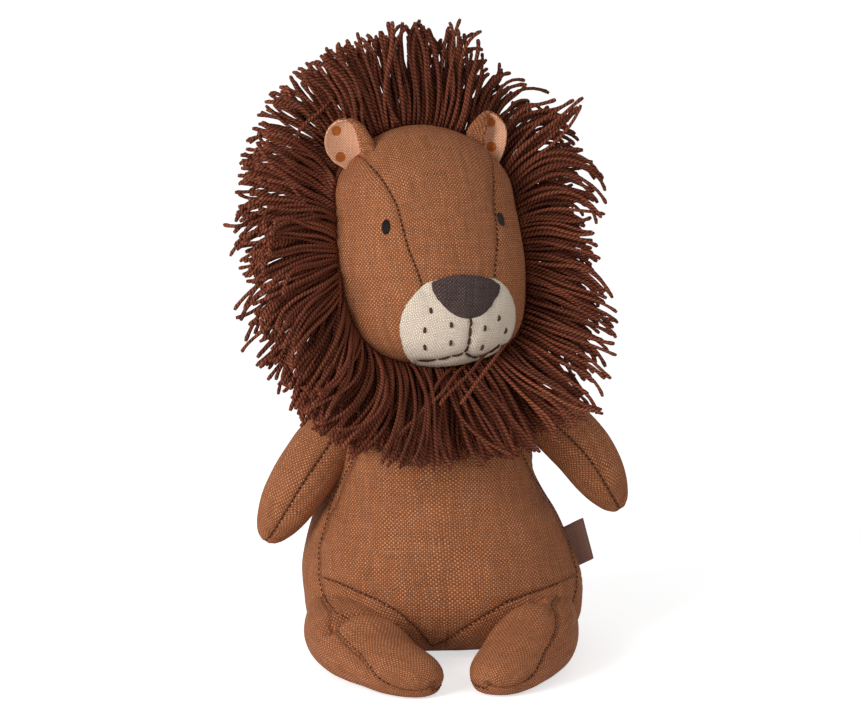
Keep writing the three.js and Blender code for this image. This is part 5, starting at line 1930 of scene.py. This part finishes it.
class LION_OT_tail(bpy.types.Operator):
    """Sew the tail and tie its yarn tuft"""

    bl_idname = "object.lion_tail"
    bl_label = "Tail"

    def execute(self, context):
        s, c = context.scene.lion_sizes, context.scene.lion_colours
        place = plain_place()
        points = [(0, 27.5, 17), (0, 32.0, 17)] + [(x, 36.4 + y, 17 - z) for x, y, z in TAIL_ROUTE]

        def seam_of(local, kept, girth):
            return kept[:, 0] * girth(kept[:, 2]) + np.where(kept[:, 1] < 0, 9.0, 0.0)

        tail = limb_cover(
            context, "tail_cover", points, (0, 0, 1), TAIL_ROWS, place, 20, 34, seam_of, 41, [(0, 0), (0, 0)]
        )
        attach(tail, "tail")
        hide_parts("tail")
        length, read = route_of(points)
        end, ahead = read(np.array([length - 2.0]))
        end, ahead = end[0], ahead[0]
        rng = np.random.default_rng(3)
        count, steps = TUFT_STRANDS, 11
        side = np.cross(ahead, (0, 0, 1.0))
        side /= np.linalg.norm(side)
        over = np.cross(side, ahead)
        turn = rng.uniform(0, 2 * math.pi, count)
        out = np.sqrt(rng.uniform(0.1, 1, count))
        paths = np.zeros((count, steps, 3))
        long = TUFT_LENGTH * rng.uniform(0.86, 1.0, count)
        for k, t in enumerate(np.linspace(0, 1, steps)):
            spread = (1.9 + 3.4 * t**0.8) * out
            bend = 0.5 * np.sin(turn * 3 + 4 * t)
            straight = end + ahead * (long * t)[:, None]
            sideways = side * (np.cos(turn) * spread + bend)[:, None]
            paths[:, k] = straight + sideways + over * (np.sin(turn) * spread * 0.85)[:, None]
        paths[..., 2] = np.maximum(paths[..., 2], 0.8)
        paths = put(paths.reshape(-1, 3), place).reshape(paths.shape)
        radius = s.yarn_thickness / 2 * rng.uniform(0.9, 1.1, count)
        tuft = strands("tuft_yarn", paths, radius, rng.uniform(0.2, 0.8, count))
        dress(tuft, material("mane_yarn", spun, tuple(c.yarn), YARN_LAY))
        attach(tuft, "tail")
        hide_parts("tail_tuft")
        return {"FINISHED"}


class LION_OT_label(bpy.types.Operator):
    """Fold a bare ribbon and catch it in the side seam"""

    bl_idname = "object.lion_label"
    bl_label = "Label"

    def execute(self, context):
        s, c = context.scene.lion_sizes, context.scene.lion_colours
        wide, reach = s.label_width, s.label_reach
        deselect()
        bpy.ops.mesh.primitive_grid_add(x_subdivisions=28, y_subdivisions=22, size=1, calc_uvs=False)
        ribbon = bpy.context.active_object
        ribbon.name = ribbon.data.name = "label_ribbon"
        flat = points_of(ribbon)
        fold = LABEL_FOLD * MM
        total = 2 * reach
        way = (flat[:, 0] + 0.5) * total
        out = np.where(way < reach, way, total - way)
        closing = np.sqrt(np.clip((reach - out) / (2.2 * fold), 0, 1))
        depth = np.where(way < reach, -1.0, 1.0) * fold * closing
        across = flat[:, 1] * wide
        cup = 0.5 * MM * np.sin(across / wide * math.pi) * out / reach
        rise, lean = math.radians(LABEL_RISE), math.radians(LABEL_LEAN)
        root = np.array(LABEL_ROOT) * MM
        side = out * math.cos(rise) - across * math.sin(lean)
        height = out * math.sin(rise) + across * math.cos(lean)
        set_points(ribbon, np.stack([side, depth + cup, height], 1) + root)
        face_uv(ribbon, "weave", [np.stack([way, across], 1) / MM])
        thicken(ribbon, RIBBON_THICKNESS, 0)
        apply_modifiers(ribbon)
        bpy.ops.object.shade_smooth()
        look = material(
            "ribbon_weave", woven, tuple(c.ribbon), 0.42 * MM, slubs=0.35, depth=0.08, contrast=0.2,
            sheen=0.15,
        )
        dress(ribbon, look)
        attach(ribbon, "torso")
        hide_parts("side_label")
        return {"FINISHED"}


# ---------- stage ----------


class LION_OT_stage(bpy.types.Operator):
    """Set the floor, the backdrop, the camera and the soft lamps"""

    bl_idname = "object.lion_stage"
    bl_label = "Stage"

    def execute(self, context):
        scene, st = context.scene, context.scene.lion_stage
        a, e = st.azimuth, st.elevation
        back = Vector((math.sin(a) * math.cos(e), -math.cos(a) * math.cos(e), math.sin(e)))
        camera = bpy.data.objects.new("camera", bpy.data.cameras.new("camera"))
        scene.collection.objects.link(camera)
        camera.location = Vector(st.aim) + back * st.distance
        camera.rotation_euler = (-back).to_track_quat("-Z", "Y").to_euler()
        camera.data.lens = st.focal_length
        camera.data.sensor_width = 36
        camera.data.clip_end = 20
        scene.camera = camera
        self.floor(context)
        scene.world = self.room(st.world_strength)
        for name, power in (("key", st.key_power), ("fill", st.fill_power)):
            spot, size = LAMPS[name]
            lamp = bpy.data.objects.new(name + "_lamp", bpy.data.lights.new(name + "_lamp", "AREA"))
            scene.collection.objects.link(lamp)
            lamp.data.size = size
            lamp.data.energy = power
            lamp.location = spot
            lamp.rotation_euler = (Vector(LAMP_AIM) - Vector(spot)).to_track_quat("-Z", "Y").to_euler()
        scene.view_settings.view_transform = "Standard"
        return {"FINISHED"}

    def floor(self, context):
        """A white floor that melts into the backdrop and takes soft shadows"""
        deselect()
        bpy.ops.mesh.primitive_plane_add(size=FLOOR_SIZE, location=(0, 0, 0))
        floor = context.active_object
        floor.name = "floor"
        g = Graph("floor_white")
        rays = g.add("ShaderNodeLightPath").outputs
        seen = g.sum("MAXIMUM", rays["Is Glossy Ray"], rays["Is Transmission Ray"])
        seen = g.sum("MAXIMUM", rays["Is Camera Ray"], seen)
        g.surface({
            "Base Color": (0.9, 0.9, 0.9, 1),
            "Roughness": 0.9,
            "Emission Color": (1, 1, 1, 1),
            "Emission Strength": g.times(seen, 0.62),
        })
        floor.data.materials.append(g.material)

    def room(self, strength):
        """Even light from all round, with plain white where it is seen"""
        world = bpy.data.worlds.new("studio")
        world.use_nodes = True
        tree = world.node_tree
        tree.nodes.clear()
        kinds = ("OutputWorld", "MixShader", "LightPath", "Math", "Math", "Background", "Background")
        out, mix, path, total, both, lit, shown = (tree.nodes.new("ShaderNode" + kind) for kind in kinds)
        total.operation = both.operation = "MAXIMUM"
        for light, power in ((lit, strength), (shown, 1.0)):
            light.inputs["Color"].default_value = (1, 1, 1, 1)
            light.inputs["Strength"].default_value = power
        rays = path.outputs
        for source, node, socket in (
            (rays["Is Glossy Ray"], both, 0),
            (rays["Is Transmission Ray"], both, 1),
            (rays["Is Camera Ray"], total, 0),
            (both.outputs[0], total, 1),
            (total.outputs[0], mix, 0),
            (lit.outputs[0], mix, 1),
            (shown.outputs[0], mix, 2),
            (mix.outputs[0], out, 0),
        ):
            tree.links.new(source, node.inputs[socket])
        return world


class LION_PT_panel(bpy.types.Panel):
    """Sizes, colours and pieces of the plush lion"""

    bl_idname = "LION_PT_panel"
    bl_label = "Plush Lion"
    bl_space_type = "VIEW_3D"
    bl_region_type = "UI"
    bl_category = "Lion"

    def draw(self, context):
        for group in (context.scene.lion_sizes, context.scene.lion_colours, context.scene.lion_stage):
            box = self.layout.box()
            for key in group.__annotations__:
                box.prop(group, key)
        for operator in OPERATORS:
            self.layout.operator(operator.bl_idname)


OPERATORS = (
    LION_OT_stage,
    LION_OT_torso,
    LION_OT_legs,
    LION_OT_arms,
    LION_OT_head,
    LION_OT_face,
    LION_OT_ears,
    LION_OT_tail,
    LION_OT_label,
    LION_OT_mane,
)
CLASSES = (LionSizes, LionColours, LionStage, *OPERATORS, LION_PT_panel)


def register():
    for kind in CLASSES:
        bpy.utils.register_class(kind)
    bpy.types.Scene.lion_sizes = bpy.props.PointerProperty(type=LionSizes)
    bpy.types.Scene.lion_colours = bpy.props.PointerProperty(type=LionColours)
    bpy.types.Scene.lion_stage = bpy.props.PointerProperty(type=LionStage)


def unregister():
    for name in ("lion_sizes", "lion_colours", "lion_stage"):
        delattr(bpy.types.Scene, name)
    for kind in reversed(CLASSES):
        bpy.utils.unregister_class(kind)


def main():
    register()
    bpy.ops.object.lion_stage()
    bpy.ops.object.lion_torso()
    bpy.ops.object.lion_legs()
    bpy.ops.object.lion_arms()
    bpy.ops.object.lion_head()
    bpy.ops.object.lion_face()
    bpy.ops.object.lion_ears()
    bpy.ops.object.lion_tail()
    bpy.ops.object.lion_label()
    bpy.ops.object.lion_mane()


if __name__ == "__main__":
    main()
